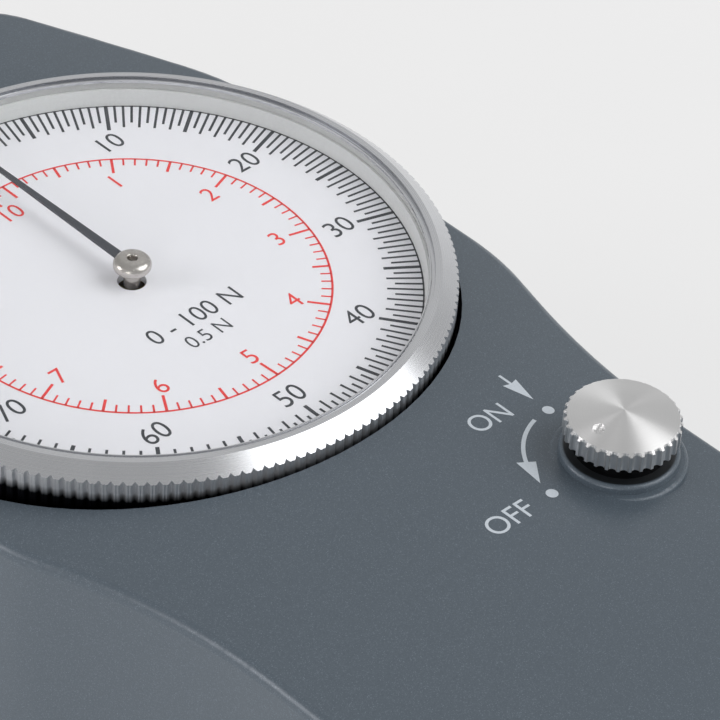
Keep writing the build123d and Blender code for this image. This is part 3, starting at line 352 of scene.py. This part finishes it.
def lensGlass():
    material, tree, shader = newMaterial("lensGlass")
    place = objectPlace(tree)
    shader.inputs["Base Color"].default_value = (0.98, 0.99, 0.99, 1.0)
    shader.inputs["Transmission Weight"].default_value = 1.0
    shader.inputs["IOR"].default_value = 1.12
    smear = noise(tree, place, 120.0, 3.0)
    tree.links.new(spread(tree, smear, 0.0, 0.03), shader.inputs["Roughness"])
    # the shadow of clear glass is light, so the dial beneath stays bright
    clear = addNode(tree, "ShaderNodeBsdfTransparent")
    mix = addNode(tree, "ShaderNodeMixShader")
    path = addNode(tree, "ShaderNodeLightPath")
    output = next(n for n in tree.nodes if n.type == "OUTPUT_MATERIAL")
    tree.links.new(path.outputs["Is Shadow Ray"], mix.inputs[0])
    tree.links.new(shader.outputs["BSDF"], mix.inputs[1])
    tree.links.new(clear.outputs["BSDF"], mix.inputs[2])
    tree.links.new(mix.outputs["Shader"], output.inputs["Surface"])
    return material


clearGlass = lensGlass()

finishes = {
    "front_housing": bodyPaint, "rear_cover": bodyPaint, "bezel": bezelMetal, "spacer_ring": ringGrey,
    "lens_retainer": bezelMetal, "dial_plate": enamel, "pointer": needlePaint, "pointer_hub": hubMetal,
    "lens": clearGlass, "knob": knobMetal, "measuring_shaft": groundSteel, "nose_bush": groundSteel,
    "knob_shaft": groundSteel, "guide_rod": groundSteel, "tail_insert": platedMetal,
    "housing_screws": platedMetal, "mount_inserts": brassMetal, "lock_nut": platedMetal,
    "chassis": castMetal, "drive_block": castMetal, "brake_pad": padRubber,
    "upper_spring": springMetal, "lower_spring": springMetal, "lever_spring": springMetal,
    "hairspring": springMetal, "snap_ring": springMetal, "knob_clip": springMetal,
    "movement_plate": brassMetal, "bridge_plate": brassMetal, "movement_pillars": brassMetal,
    "bridge_pillars": brassMetal, "rack": brassMetal, "idler_gear": brassMetal, "rack_pinion": brassMetal,
    "shaft_bushes": brassMetal, "arbor_bushes": brassMetal, "knob_bush": shadeBlackMetal,
    "hairspring_collet": brassMetal, "hairspring_stud": brassMetal, "friction_washer": brassMetal,
}
for name, node in nodes.items():
    node.data.materials.clear()
    node.data.materials.append(finishes.get(name, platedMetal))
print("finishes made")


# pieces whose threads and sockets are finer than the solids
def lathePiece(name, rows, steps, node, body, material, copies=None, loop=False, bands=None):
    # rows of (distance along the axis, radius), each a number or a rule by angle. In a loop the last row
    # joins the first, and otherwise both ends are closed. Bands give the rows that take a second material
    work = bmesh.new()
    for place in copies or [Matrix.Identity(4)]:
        rings = []
        for along, radius in rows:
            ring = []
            for k in range(steps):
                a = 2 * pi * k / steps
                r = radius(a) if callable(radius) else radius
                high = along(a) if callable(along) else along
                ring.append(work.verts.new(place @ Vector((r * cos(a), r * sin(a), high)) * mm))
            rings.append(ring)
        if loop:
            rings.append(rings[0])
        for row, (first, second) in enumerate(zip(rings, rings[1:])):
            for k in range(steps):
                n = (k + 1) % steps
                face = work.faces.new((first[k], first[n], second[n], second[k]))
                face.material_index = 1 if bands and row in bands[0] else 0
        if not loop:
            for end in (rings[0], rings[-1]):
                work.faces.new(end)
    bmesh.ops.recalc_face_normals(work, faces=work.faces)
    mesh = bpy.data.meshes.new(name)
    work.to_mesh(mesh)
    work.free()
    piece = bpy.data.objects.new(name, mesh)
    bpy.context.scene.collection.objects.link(piece)
    mesh.materials.append(material)
    if bands:
        mesh.materials.append(bands[1])
    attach(piece, body)
    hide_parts(node)
    return piece


def smoothFaces(piece, limit=0.6):
    # even shading over gentle turns; edges sharper than the limit stay crisp
    for polygon in piece.data.polygons:
        polygon.use_smooth = True
    work = bmesh.new()
    work.from_mesh(piece.data)
    for edge in work.edges:
        edge.smooth = len(edge.link_faces) == 2 and edge.calc_face_angle() < limit
    work.to_mesh(piece.data)
    work.free()


def threadRows(start, stop, pitch, crest, root, perTurn=8):
    # rows of a helical thread between a crest radius and a root radius
    rows = []
    count = int((stop - start) / pitch * perTurn)
    for k in range(count + 1):
        along = start + (stop - start) * k / count

        def radius(a, along=along):
            phase = (along / pitch - a / (2 * pi)) % 1.0
            # flat crest and root with a slope between
            flank = min(1.0, max(0.0, 1.25 - abs(phase * 2 - 1) * 1.5))
            return root + (crest - root) * flank
        rows.append((along, radius))
    return rows


def hexagon(across):
    # radius of a hexagon by angle, its size across the flats
    def radius(a):
        part = (a + pi / 6) % (pi / 3) - pi / 6
        return across / 2 / cos(part)
    return radius


overDial = Matrix.Translation((gauge["dialX"], gauge["dialY"], 0.0))
alongShaft = Matrix.Translation((0.0, 0.0, gauge["shaftZ"])) @ Matrix.Rotation(-pi / 2, 4, "X")

shaft = {"inner": -89.0, "shoulder": 99.0, "tip": 113.0, "radius": 4.0, "neck": 2.68, "thread": 3.0,
         "root": 2.45, "threadFrom": 104.3, "pitch": 1.0, "edge": 0.5}


def makeShaft():
    rows = [(shaft["inner"], shaft["radius"] - shaft["edge"]),
            (shaft["inner"] + shaft["edge"], shaft["radius"]),
            (shaft["shoulder"] - shaft["edge"], shaft["radius"]),
            (shaft["shoulder"], shaft["radius"] - shaft["edge"]), (shaft["shoulder"], shaft["neck"]),
            (shaft["threadFrom"], shaft["neck"])]
    rows += threadRows(shaft["threadFrom"] + 0.05, shaft["tip"] - shaft["edge"], shaft["pitch"],
                       shaft["thread"], shaft["root"])
    rows += [(shaft["tip"] - 0.1, shaft["root"]), (shaft["tip"], shaft["root"] - 0.15)]
    lathePiece("shaftThreaded", rows, 64, "measuring_shaft", "shaft", groundSteel,
               [alongShaft])


# cap screws in the rear cover, seen from below
coverScrew = {"spots": [(11.8, 69.4), (18.6, -29.0), (14.0, -105.5)], "headLow": 0.2, "headHigh": 2.2,
              "head": 2.75, "shank": 1.5, "shankEnd": 28.0, "edge": 0.3, "hex": 2.5, "hexDeep": 1.3,
              "knurl": 36, "knurlDeep": 0.06, "socketEdge": 0.12}


def makeScrews():
    head, edge = coverScrew["head"], coverScrew["edge"]
    low, high = coverScrew["headLow"], coverScrew["headHigh"]

    def knurled(a):
        return head - coverScrew["knurlDeep"] * (0.5 + 0.5 * cos(a * coverScrew["knurl"]))
    socket = hexagon(coverScrew["hex"])
    lip = coverScrew["socketEdge"]
    rows = [(low + coverScrew["hexDeep"], socket), (low + lip, socket), (low, lambda a: socket(a) + lip),
            (low, head - edge), (low + edge * 0.4, head - edge * 0.3), (low + edge, knurled),
            (high, knurled), (high, coverScrew["shank"]), (coverScrew["shankEnd"], coverScrew["shank"])]
    copies = [Matrix.Translation((side * x, y, 0.0)) for x, y in coverScrew["spots"] for side in (1, -1)]
    lathePiece("coverScrews", rows, 144, "housing_screws", "housing", platedMetal, copies)


# threaded brass inserts for a stand, and the steel one in the tail
insert = {"spots": [(15.0, 48.0), (15.0, -22.0)], "radius": 3.0, "length": 5.5, "crest": 1.65, "root": 1.95,
          "pitch": 0.7, "edge": 0.2}
tail = {"from": -113.0, "deep": 9.0, "length": 11.0, "radius": 6.0, "crest": 2.5, "root": 2.95,
        "pitch": 1.0, "edge": 0.35}


def makeInserts():
    rows = [(insert["length"], insert["radius"] - 0.01), (insert["edge"], insert["radius"]),
            (0.0, insert["radius"] - insert["edge"]), (0.0, insert["crest"] + insert["edge"] * 2)]
    rows += threadRows(insert["edge"], insert["length"] - 0.1, insert["pitch"], insert["crest"],
                       insert["root"])
    rows += [(insert["length"], insert["crest"])]
    copies = [Matrix.Translation((side * x, y, 0.0)) for x, y in insert["spots"] for side in (1, -1)]
    lathePiece("standInserts", rows, 48, "mount_inserts", "housing", brassMetal, copies)
    rows = [(tail["length"], tail["radius"]), (0.0, tail["radius"]),
            (0.0, tail["crest"] + tail["edge"] * 2)]
    rows += threadRows(tail["edge"], tail["deep"] - 0.2, tail["pitch"], tail["crest"], tail["root"])
    rows += [(tail["deep"], tail["crest"])]
    place = Matrix.Translation((0.0, tail["from"], 0.0)) @ alongShaft
    lathePiece("tailThreaded", rows, 48, "tail_insert", "housing", platedMetal, [place])


# bezel: fine rounded teeth, sloping face and narrow lip
bezel = {"low": 36.6, "radius": 28.63, "teeth": 180, "deep": 0.27, "dip": 0.035, "coneFoot": 44.9,
         "coneTop": 46.1, "coneInner": 27.1, "lipInner": 26.5, "bore": 26.17, "boreTop": 45.75,
         "seat": 42.2, "ledge": 23.5, "ledgeLow": 41.0, "collar": 25.05, "lipBevel": 0.04,
         "grooveShare": 0.28, "dipShare": 0.12, "facets": 8}


def toothRadius(a):
    part = abs((a * bezel["teeth"] / (2 * pi) + 0.5) % 1.0 - 0.5)
    groove = max(0.0, 1.0 - (0.5 - part) / bezel["grooveShare"])
    dip = max(0.0, 1.0 - part / bezel["dipShare"])
    return bezel["radius"] - bezel["deep"] * groove - bezel["dip"] * dip


def toothTop(a):
    # the teeth run up to the sloping face
    slope = (bezel["coneTop"] - bezel["coneFoot"]) / (bezel["radius"] - bezel["coneInner"])
    return bezel["coneFoot"] + (bezel["radius"] - toothRadius(a)) * slope


def makeBezel():
    rows = [(bezel["low"], bezel["collar"]), (bezel["low"], toothRadius),
            (gauge["teethDark"], toothRadius), (gauge["teethBright"], toothRadius),
            (toothTop, toothRadius), (bezel["coneTop"], bezel["coneInner"]),
            (bezel["coneTop"], bezel["lipInner"]),
            (bezel["boreTop"], bezel["lipInner"] - bezel["lipBevel"]), (bezel["boreTop"], bezel["bore"]),
            (bezel["seat"], bezel["bore"]), (bezel["seat"], bezel["ledge"]),
            (bezel["ledgeLow"], bezel["ledge"]), (bezel["ledgeLow"], bezel["collar"])]
    lathePiece("bezelTurned", rows, bezel["teeth"] * bezel["facets"], "bezel", "bezel_group",
               bezelMetal, [overDial], True, ((1, 2, 3), knurlMetal))


# thin ring that holds the lens down
lensRing = {"inner": 26.0, "outer": 26.12, "low": 45.70, "high": 45.95}


def makeLensRing():
    rows = [(lensRing["low"], lensRing["inner"]), (lensRing["low"], lensRing["outer"]),
            (lensRing["high"], lensRing["outer"]), (lensRing["high"], lensRing["inner"])]
    lathePiece("lensRing", rows, 360, "lens_retainer", "bezel_group", bezelMetal,
               [overDial], True)


# crystal, finer than the solid so that its rim looks even
crystal = {"edge": 26.15, "low": 44.66, "thick": 1.0, "rise": 1.3, "rings": 14}


def makeCrystal():
    curve = (crystal["edge"] ** 2 + crystal["rise"] ** 2) / (2 * crystal["rise"])

    def height(radius):
        return crystal["low"] + crystal["rise"] - curve + sqrt(curve ** 2 - radius ** 2)
    radii = [crystal["edge"] * (k + 0.25) / (crystal["rings"] + 0.25) for k in range(crystal["rings"] + 1)]
    rows = [(height(r), r) for r in radii] + [(height(r) + crystal["thick"], r) for r in reversed(radii)]
    # the rim is ground
    piece = lathePiece("crystal", rows, 720, "lens", "bezel_group", clearGlass, [overDial],
                       False, ((crystal["rings"],), groundEdge))
    smoothFaces(piece)


# cap of the pointer, with a rounded edge
hub = {"bore": 0.42, "post": 0.75, "low": 42.2,
       "cap": [(44.45, 1.35), (44.46, 1.50), (44.53, 1.62), (44.66, 1.69), (44.84, 1.71), (45.04, 1.69),
               (45.22, 1.62), (45.37, 1.50), (45.48, 1.34), (45.56, 1.12), (45.62, 0.86), (45.65, 0.64),
               (45.64, 0.54), (45.59, 0.47)]}


def makeHub():
    rows = [(hub["low"], hub["bore"]), (hub["low"], hub["post"]),
            (hub["cap"][0][0], hub["post"])] + hub["cap"]
    rows.append((hub["cap"][-1][0] - 0.1, hub["bore"]))
    piece = lathePiece("hubTurned", rows, 96, "pointer_hub", "pointer_train", hubMetal,
                       [overDial], True)
    smoothFaces(piece)


# knob: fluted side, bevelled edge, shallow domed top with a dimple
knob = {"low": 45.91, "rim": 47.82, "radius": 5.0, "flutes": 32, "fluteDeep": 0.30, "fluteHalf": 0.36,
        "bevel": 0.27, "foot": 0.06, "dome": 0.7, "dimpleX": -3.1, "dimple": 0.52, "dimpleDeep": 0.26,
        "dimpleRim": 0.03, "bore": 1.9, "facets": 24}


def fluteRadius(a):
    part = abs((a * knob["flutes"] / (2 * pi)) % 1.0 - 0.5)
    across = min(1.0, (0.5 - part) / knob["fluteHalf"])
    return knob["radius"] - knob["fluteDeep"] * sqrt(1.0 - across * across)


def makeKnob():
    flat = knob["radius"] - knob["bevel"]

    def topHeight(radius):
        def height(a):
            away = sqrt((radius * cos(a) - knob["dimpleX"]) ** 2 + (radius * sin(a)) ** 2) / knob["dimple"]
            dome = knob["dome"] * (1.0 - (radius / flat) ** 2)
            pit = knob["dimpleDeep"] * max(0.0, 1.0 - away ** 2)
            raised = knob["dimpleRim"] * max(0.0, 1.0 - abs(away - 1.0) * 5)
            return knob["rim"] + dome - (pit - raised)
        return height
    rows = [(knob["low"], knob["bore"]), (knob["low"], lambda a: fluteRadius(a) - knob["foot"]),
            (knob["low"] + knob["foot"], fluteRadius), (knob["rim"] - knob["bevel"], fluteRadius),
            (knob["rim"], lambda a: min(flat, fluteRadius(a)))]
    # close rows where the dimple is
    radii = [4.55, 4.3, 4.05, 3.85] + [3.75 - 0.04 * k for k in range(32)]
    radii += [2.3, 1.9, 1.5, 1.1, 0.7, 0.3, 0.08]
    rows += [(topHeight(r), r) for r in radii]
    place = Matrix.Translation((gauge["knobX"], gauge["knobY"], 0.0))
    lathePiece("knobTurned", rows, knob["flutes"] * knob["facets"], "knob", "knob_group",
               knobMetal, [place], False, ((1, 2), knobSide))


makeShaft()
makeScrews()
makeInserts()
makeBezel()
makeLensRing()
makeCrystal()
makeHub()
makeKnob()
print("threads, sockets, teeth and flutes cut")


# print on the dial and the housing
def addPrint(name, mesh, body, material):
    piece = bpy.data.objects.new(name, mesh)
    bpy.context.scene.collection.objects.link(piece)
    mesh.materials.clear()
    mesh.materials.append(material)
    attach(piece, body)
    return piece


dialPrint = {
    "above": 0.012,            # print above the enamel, in millimetres
    "step": 3.6,               # degrees to the newton
    "tenInner": 21.97, "fiveInner": 22.29, "oneInner": 22.38, "halfInner": 23.1,
    "thickWide": 0.36, "oneWide": 0.24, "halfWide": 0.24, "edgeShadeWide": 0.15, "edgeGap": 0.01,
    "numberRing": 20.18, "numberHigh": 2.15, "narrow": 0.92, "heavy": -0.005, "wordHeavy": -0.008,
    "redStep": 35.3, "redRing": 17.58, "redLine": 0.2,
    "redWhole": 15.5, "redHalf": 16.05, "redTenth": 16.62, "redWide": 0.26, "redThin": 0.18,
    "redNumberRing": 14.27, "redNumberHigh": 1.9,
    "words": [("dialRange", "0 - 100 N", (0.9, 25.95), 2.0), ("dialStep", "0.5 N", (0.25, 23.4), 1.6)],
}


def dialSpot(angle, radius):
    # a point on the dial, clockwise from the top
    a = radians(angle)
    return Vector((gauge["dialX"] + radius * sin(a), gauge["dialY"] + radius * cos(a)))


def addStroke(work, first, last, wide, height):
    # one straight printed stroke
    side = (last - first).normalized()
    side = Vector((-side.y, side.x)) * wide / 2
    corners = [first - side, last - side, last + side, first + side]
    work.faces.new([work.verts.new((p.x * mm, p.y * mm, height * mm)) for p in corners])


def addRing(work, inner, outer, height, steps=360):
    inside = [work.verts.new((*(dialSpot(360 * k / steps, inner) * mm), height * mm)) for k in range(steps)]
    outside = [work.verts.new((*(dialSpot(360 * k / steps, outer) * mm),
                               height * mm)) for k in range(steps)]
    for k in range(steps):
        n = (k + 1) % steps
        work.faces.new((inside[k], inside[n], outside[n], outside[k]))


def finishMesh(work, name):
    bmesh.ops.recalc_face_normals(work, faces=work.faces)
    for face in work.faces:
        if face.normal.z < 0:
            face.normal_flip()
    mesh = bpy.data.meshes.new(name)
    work.to_mesh(mesh)
    work.free()
    return mesh


def makeScale():
    high = gauge["dialZ"] + dialPrint["above"]
    work = bmesh.new()
    for half in range(200):
        angle = half / 2 * dialPrint["step"]
        if half % 20 == 0:
            inner, wide = dialPrint["tenInner"], dialPrint["thickWide"]
        elif half % 10 == 0:
            inner, wide = dialPrint["fiveInner"], dialPrint["thickWide"]
        elif half % 2 == 0:
            inner, wide = dialPrint["oneInner"], dialPrint["oneWide"]
        else:
            inner, wide = dialPrint["halfInner"], dialPrint["halfWide"]
        addStroke(work, dialSpot(angle, inner), dialSpot(angle, gauge["dialEdge"]), wide, high)
    # painted shade: a thin dark ring just inside the dial's edge, for the shade in the corner at the spacer
    # ring
    addRing(work, gauge["dialEdge"] - dialPrint["edgeShadeWide"], gauge["dialEdge"] - dialPrint["edgeGap"], high)
    addPrint("dialScaleBlack", finishMesh(work, "dialScaleBlack"), "bezel_group", blackInk)
    work = bmesh.new()
    line = dialPrint["redLine"] / 2
    addRing(work, dialPrint["redRing"] - line, dialPrint["redRing"] + line, high)
    for tenth in range(102):
        angle = tenth / 10 * dialPrint["redStep"]
        if tenth % 10 == 0:
            inner, wide = dialPrint["redWhole"], dialPrint["redWide"]
        elif tenth % 5 == 0:
            inner, wide = dialPrint["redHalf"], dialPrint["redWide"]
        else:
            inner, wide = dialPrint["redTenth"], dialPrint["redThin"]
        addStroke(work, dialSpot(angle, inner), dialSpot(angle, dialPrint["redRing"]), wide, high)
    addPrint("dialScaleRed", finishMesh(work, "dialScaleRed"), "bezel_group", redInk)


def letters(text, high, wide=1.0, thin=0.0):
    # the outline of a word as a flat mesh, its middle on the origin, in millimetres
    curve = bpy.data.curves.new("letters", "FONT")
    curve.body = text
    curve.size = high / 0.7
    curve.offset = thin
    curve.resolution_u = 6
    temporary = bpy.data.objects.new("letters", curve)
    bpy.context.scene.collection.objects.link(temporary)
    bpy.context.view_layer.update()
    mesh = bpy.data.meshes.new_from_object(temporary)
    bpy.data.objects.remove(temporary)
    xs = [v.co.x for v in mesh.vertices]
    ys = [v.co.y for v in mesh.vertices]
    middle = Vector(((min(xs) + max(xs)) / 2, (min(ys) + max(ys)) / 2, 0))
    grow = high / (max(ys) - min(ys))
    for v in mesh.vertices:
        v.co = (v.co - middle) * grow
        v.co.x *= wide
    return mesh


def placeLetters(name, text, spot, high, body, material, height, wide=1.0, thin=0.0):
    mesh = letters(text, high, wide, thin)
    for v in mesh.vertices:
        x, y = spot[0] + v.co.x, spot[1] + v.co.y
        v.co = (x * mm, y * mm, height(x, y) * mm)
    mesh.name = name
    return addPrint(name, mesh, body, material)


def dialHeight(x, y):
    return gauge["dialZ"] + dialPrint["above"]


def makeNumbers():
    for ten in range(0, 100, 10):
        spot = dialSpot(ten * dialPrint["step"], dialPrint["numberRing"])
        placeLetters("dialNumber." + str(ten), str(ten), spot, dialPrint["numberHigh"], "bezel_group",
                     blackInk, dialHeight, dialPrint["narrow"], dialPrint["heavy"])
    for one in range(1, 11):
        spot = dialSpot(one * dialPrint["redStep"], dialPrint["redNumberRing"])
        placeLetters("dialRedNumber." + str(one), str(one), spot, dialPrint["redNumberHigh"], "bezel_group",
                     redInk, dialHeight, dialPrint["narrow"], dialPrint["heavy"])
    for name, text, spot, high in dialPrint["words"]:
        placeLetters(name, text, spot, high, "bezel_group", blackInk, dialHeight,
                     dialPrint["narrow"], dialPrint["wordHeavy"])


makeScale()
makeNumbers()
print("dial printed")


# marks on the crowned front face beside the knob; angles about the knob, from X
marks = {
    "above": 0.012,
    "ring": 8.03, "dots": (90.8, 179.2), "dotRadius": 0.54,
    "arrowX": 15.36, "arrowTail": 2.95, "arrowTip": -1.17, "arrowBarb": 1.74, "arrowNotch": 1.52,
    "arrowWide": 0.81, "arrowLine": 0.27,
    "arcFrom": 105.0, "arcTo": 149.5, "arcTip": 168.4, "arcWide": 0.85, "arcLine": 0.37, "arcLap": 1.5,
    "words": [("markOn", "ON", (10.35, -0.66)), ("markOff", "OFF", (2.45, -10.72))],
    "wordHigh": 2.1, "narrow": 0.95,
}


def onCrown(x, y):
    return crownHeight(x) + marks["above"]


def knobSpot(angle, radius):
    a = radians(angle)
    return Vector((gauge["knobX"] + radius * cos(a), gauge["knobY"] + radius * sin(a)))


def addPatch(work, points):
    # a flat outline laid on the crowned face
    work.faces.new([work.verts.new((p[0] * mm, p[1] * mm, onCrown(*p) * mm)) for p in points])


def makeMarks():
    work = bmesh.new()
    for angle in marks["dots"]:
        middle = knobSpot(angle, marks["ring"])
        addPatch(work, [middle + Vector((cos(a), sin(a))) * marks["dotRadius"]
                        for a in [2 * pi * k / 40 for k in range(40)]])
    # straight arrow down to the upper dot
    x, line, wide = marks["arrowX"], marks["arrowLine"] / 2, marks["arrowWide"]
    tailY, tipY = marks["arrowTail"], marks["arrowTip"]
    barbY, notchY = marks["arrowBarb"], marks["arrowNotch"]
    addPatch(work, [(x - line, tailY), (x - line, notchY), (x + line, notchY), (x + line, tailY)])
    addPatch(work, [(x, tipY), (x + wide, barbY), (x, notchY)])
    addPatch(work, [(x, tipY), (x, notchY), (x - wide, barbY)])
    # curved arrow from the upper dot round to the lower one
    ring, half, steps = marks["ring"], marks["arcLine"] / 2, 24
    angles = [marks["arcFrom"] + (marks["arcTo"] - marks["arcFrom"]) * k / steps for k in range(steps + 1)]
    for first, second in zip(angles, angles[1:]):
        addPatch(work, [knobSpot(first, ring - half), knobSpot(second, ring - half),
                        knobSpot(second, ring + half), knobSpot(first, ring + half)])
    tip = knobSpot(marks["arcTip"], ring)
    root = marks["arcTo"] - marks["arcLap"]
    addPatch(work, [tip, knobSpot(root, ring + marks["arcWide"]), knobSpot(root, ring - marks["arcWide"])])
    addPrint("settingMarks", finishMesh(work, "settingMarks"), "housing", whiteInk)
    for name, text, spot in marks["words"]:
        placeLetters(name, text, spot, marks["wordHigh"], "housing", whiteInk, onCrown,
                     marks["narrow"])


makeMarks()
print("housing marked")


# floor, lamps and background
studio = {
    "floorColour": (0.93, 0.93, 0.93), "paperShare": 0.5, "paperGlow": 0.95,
    "lamps": [  # name, direction from the gauge, distance, size, watts, colour
        ("key", (0.489, -0.543, 0.682), 0.9, 0.84, 3.7, (1.0, 1.0, 1.0)),
        ("far", (0.54, 0.54, 0.64), 1.1, 1.0, 0.4, (1.0, 1.0, 1.0)),
        ("left", (-0.77, 0.54, 0.36), 1.0, 0.5, 2.2, (1.0, 0.97, 0.98)),
        ("low", (-0.89, -0.41, 0.21), 1.0, 0.45, 1.5, (1.0, 0.98, 0.98)),
    ],
    "horizon": 0.76, "sky": 0.44, "skyFrom": 0.35,
}


def makeFloor():
    material, tree, shader = newMaterial("floorPaper")
    place = objectPlace(tree)
    cloud = noise(tree, place, 40.0, 3.0)
    low = tuple(c * 0.985 for c in studio["floorColour"])
    tree.links.new(ramp(tree, cloud, [(0.3, low), (0.7, studio["floorColour"])]),
                   shader.inputs["Base Color"])
    shader.inputs["Roughness"].default_value = 0.9
    # what is seen of the paper, straight or in metal and glass, is paler; the shadow on it stays
    path = addNode(tree, "ShaderNodeLightPath")
    seen = path.outputs["Is Camera Ray"]
    for kind in ("Is Glossy Ray", "Is Transmission Ray"):
        either = addNode(tree, "ShaderNodeMath", operation="MAXIMUM")
        tree.links.new(seen, either.inputs[0])
        tree.links.new(path.outputs[kind], either.inputs[1])
        seen = either.outputs["Value"]
    glow = addNode(tree, "ShaderNodeEmission", Color=(1.0, 1.0, 1.0, 1.0), Strength=studio["paperGlow"])
    mix = addNode(tree, "ShaderNodeMixShader")
    output = next(n for n in tree.nodes if n.type == "OUTPUT_MATERIAL")
    tree.links.new(spread(tree, seen, 0.0, studio["paperShare"]), mix.inputs[0])
    tree.links.new(shader.outputs["BSDF"], mix.inputs[1])
    tree.links.new(glow.outputs["Emission"], mix.inputs[2])
    tree.links.new(mix.outputs["Shader"], output.inputs["Surface"])
    bpy.ops.mesh.primitive_plane_add(size=6.0, location=(0, 0, -0.1 * mm))
    floor = bpy.context.object
    floor.name = "floor"
    floor.data.materials.append(material)


def makeLamps():
    aim = Vector((0.0, 0.01, 0.04))
    for name, direction, distance, size, watts, colour in studio["lamps"]:
        data = bpy.data.lights.new(name, "AREA")
        data.shape = "DISK"
        data.size = size
        data.energy = watts
        data.color = colour
        lamp = bpy.data.objects.new(name, data)
        bpy.context.scene.collection.objects.link(lamp)
        lamp.location = aim + Vector(direction).normalized() * distance
        lamp.rotation_euler = (aim - lamp.location).to_track_quat("-Z", "Y").to_euler()


def makeSky():
    # pale all round the horizon, dimmer overhead
    world = bpy.data.worlds.new("studio")
    bpy.context.scene.world = world
    world.use_nodes = True
    tree = world.node_tree
    tree.nodes.clear()
    output = tree.nodes.new("ShaderNodeOutputWorld")
    light = addNode(tree, "ShaderNodeBackground")
    light.inputs["Color"].default_value = (1.0, 1.0, 1.0, 1.0)
    coordinates = addNode(tree, "ShaderNodeTexCoord")
    level = addNode(tree, "ShaderNodeMapRange")
    level.inputs["From Max"].default_value = studio["skyFrom"]
    level.inputs["To Min"].default_value = studio["horizon"]
    level.inputs["To Max"].default_value = studio["sky"]
    tree.links.new(heightOf(tree, coordinates.outputs["Generated"]), level.inputs["Value"])
    tree.links.new(level.outputs["Result"], light.inputs["Strength"])
    tree.links.new(light.outputs["Background"], output.inputs["Surface"])


makeFloor()
makeLamps()
makeSky()
bpy.context.scene.view_settings.view_transform = "Standard"
print("studio lit")
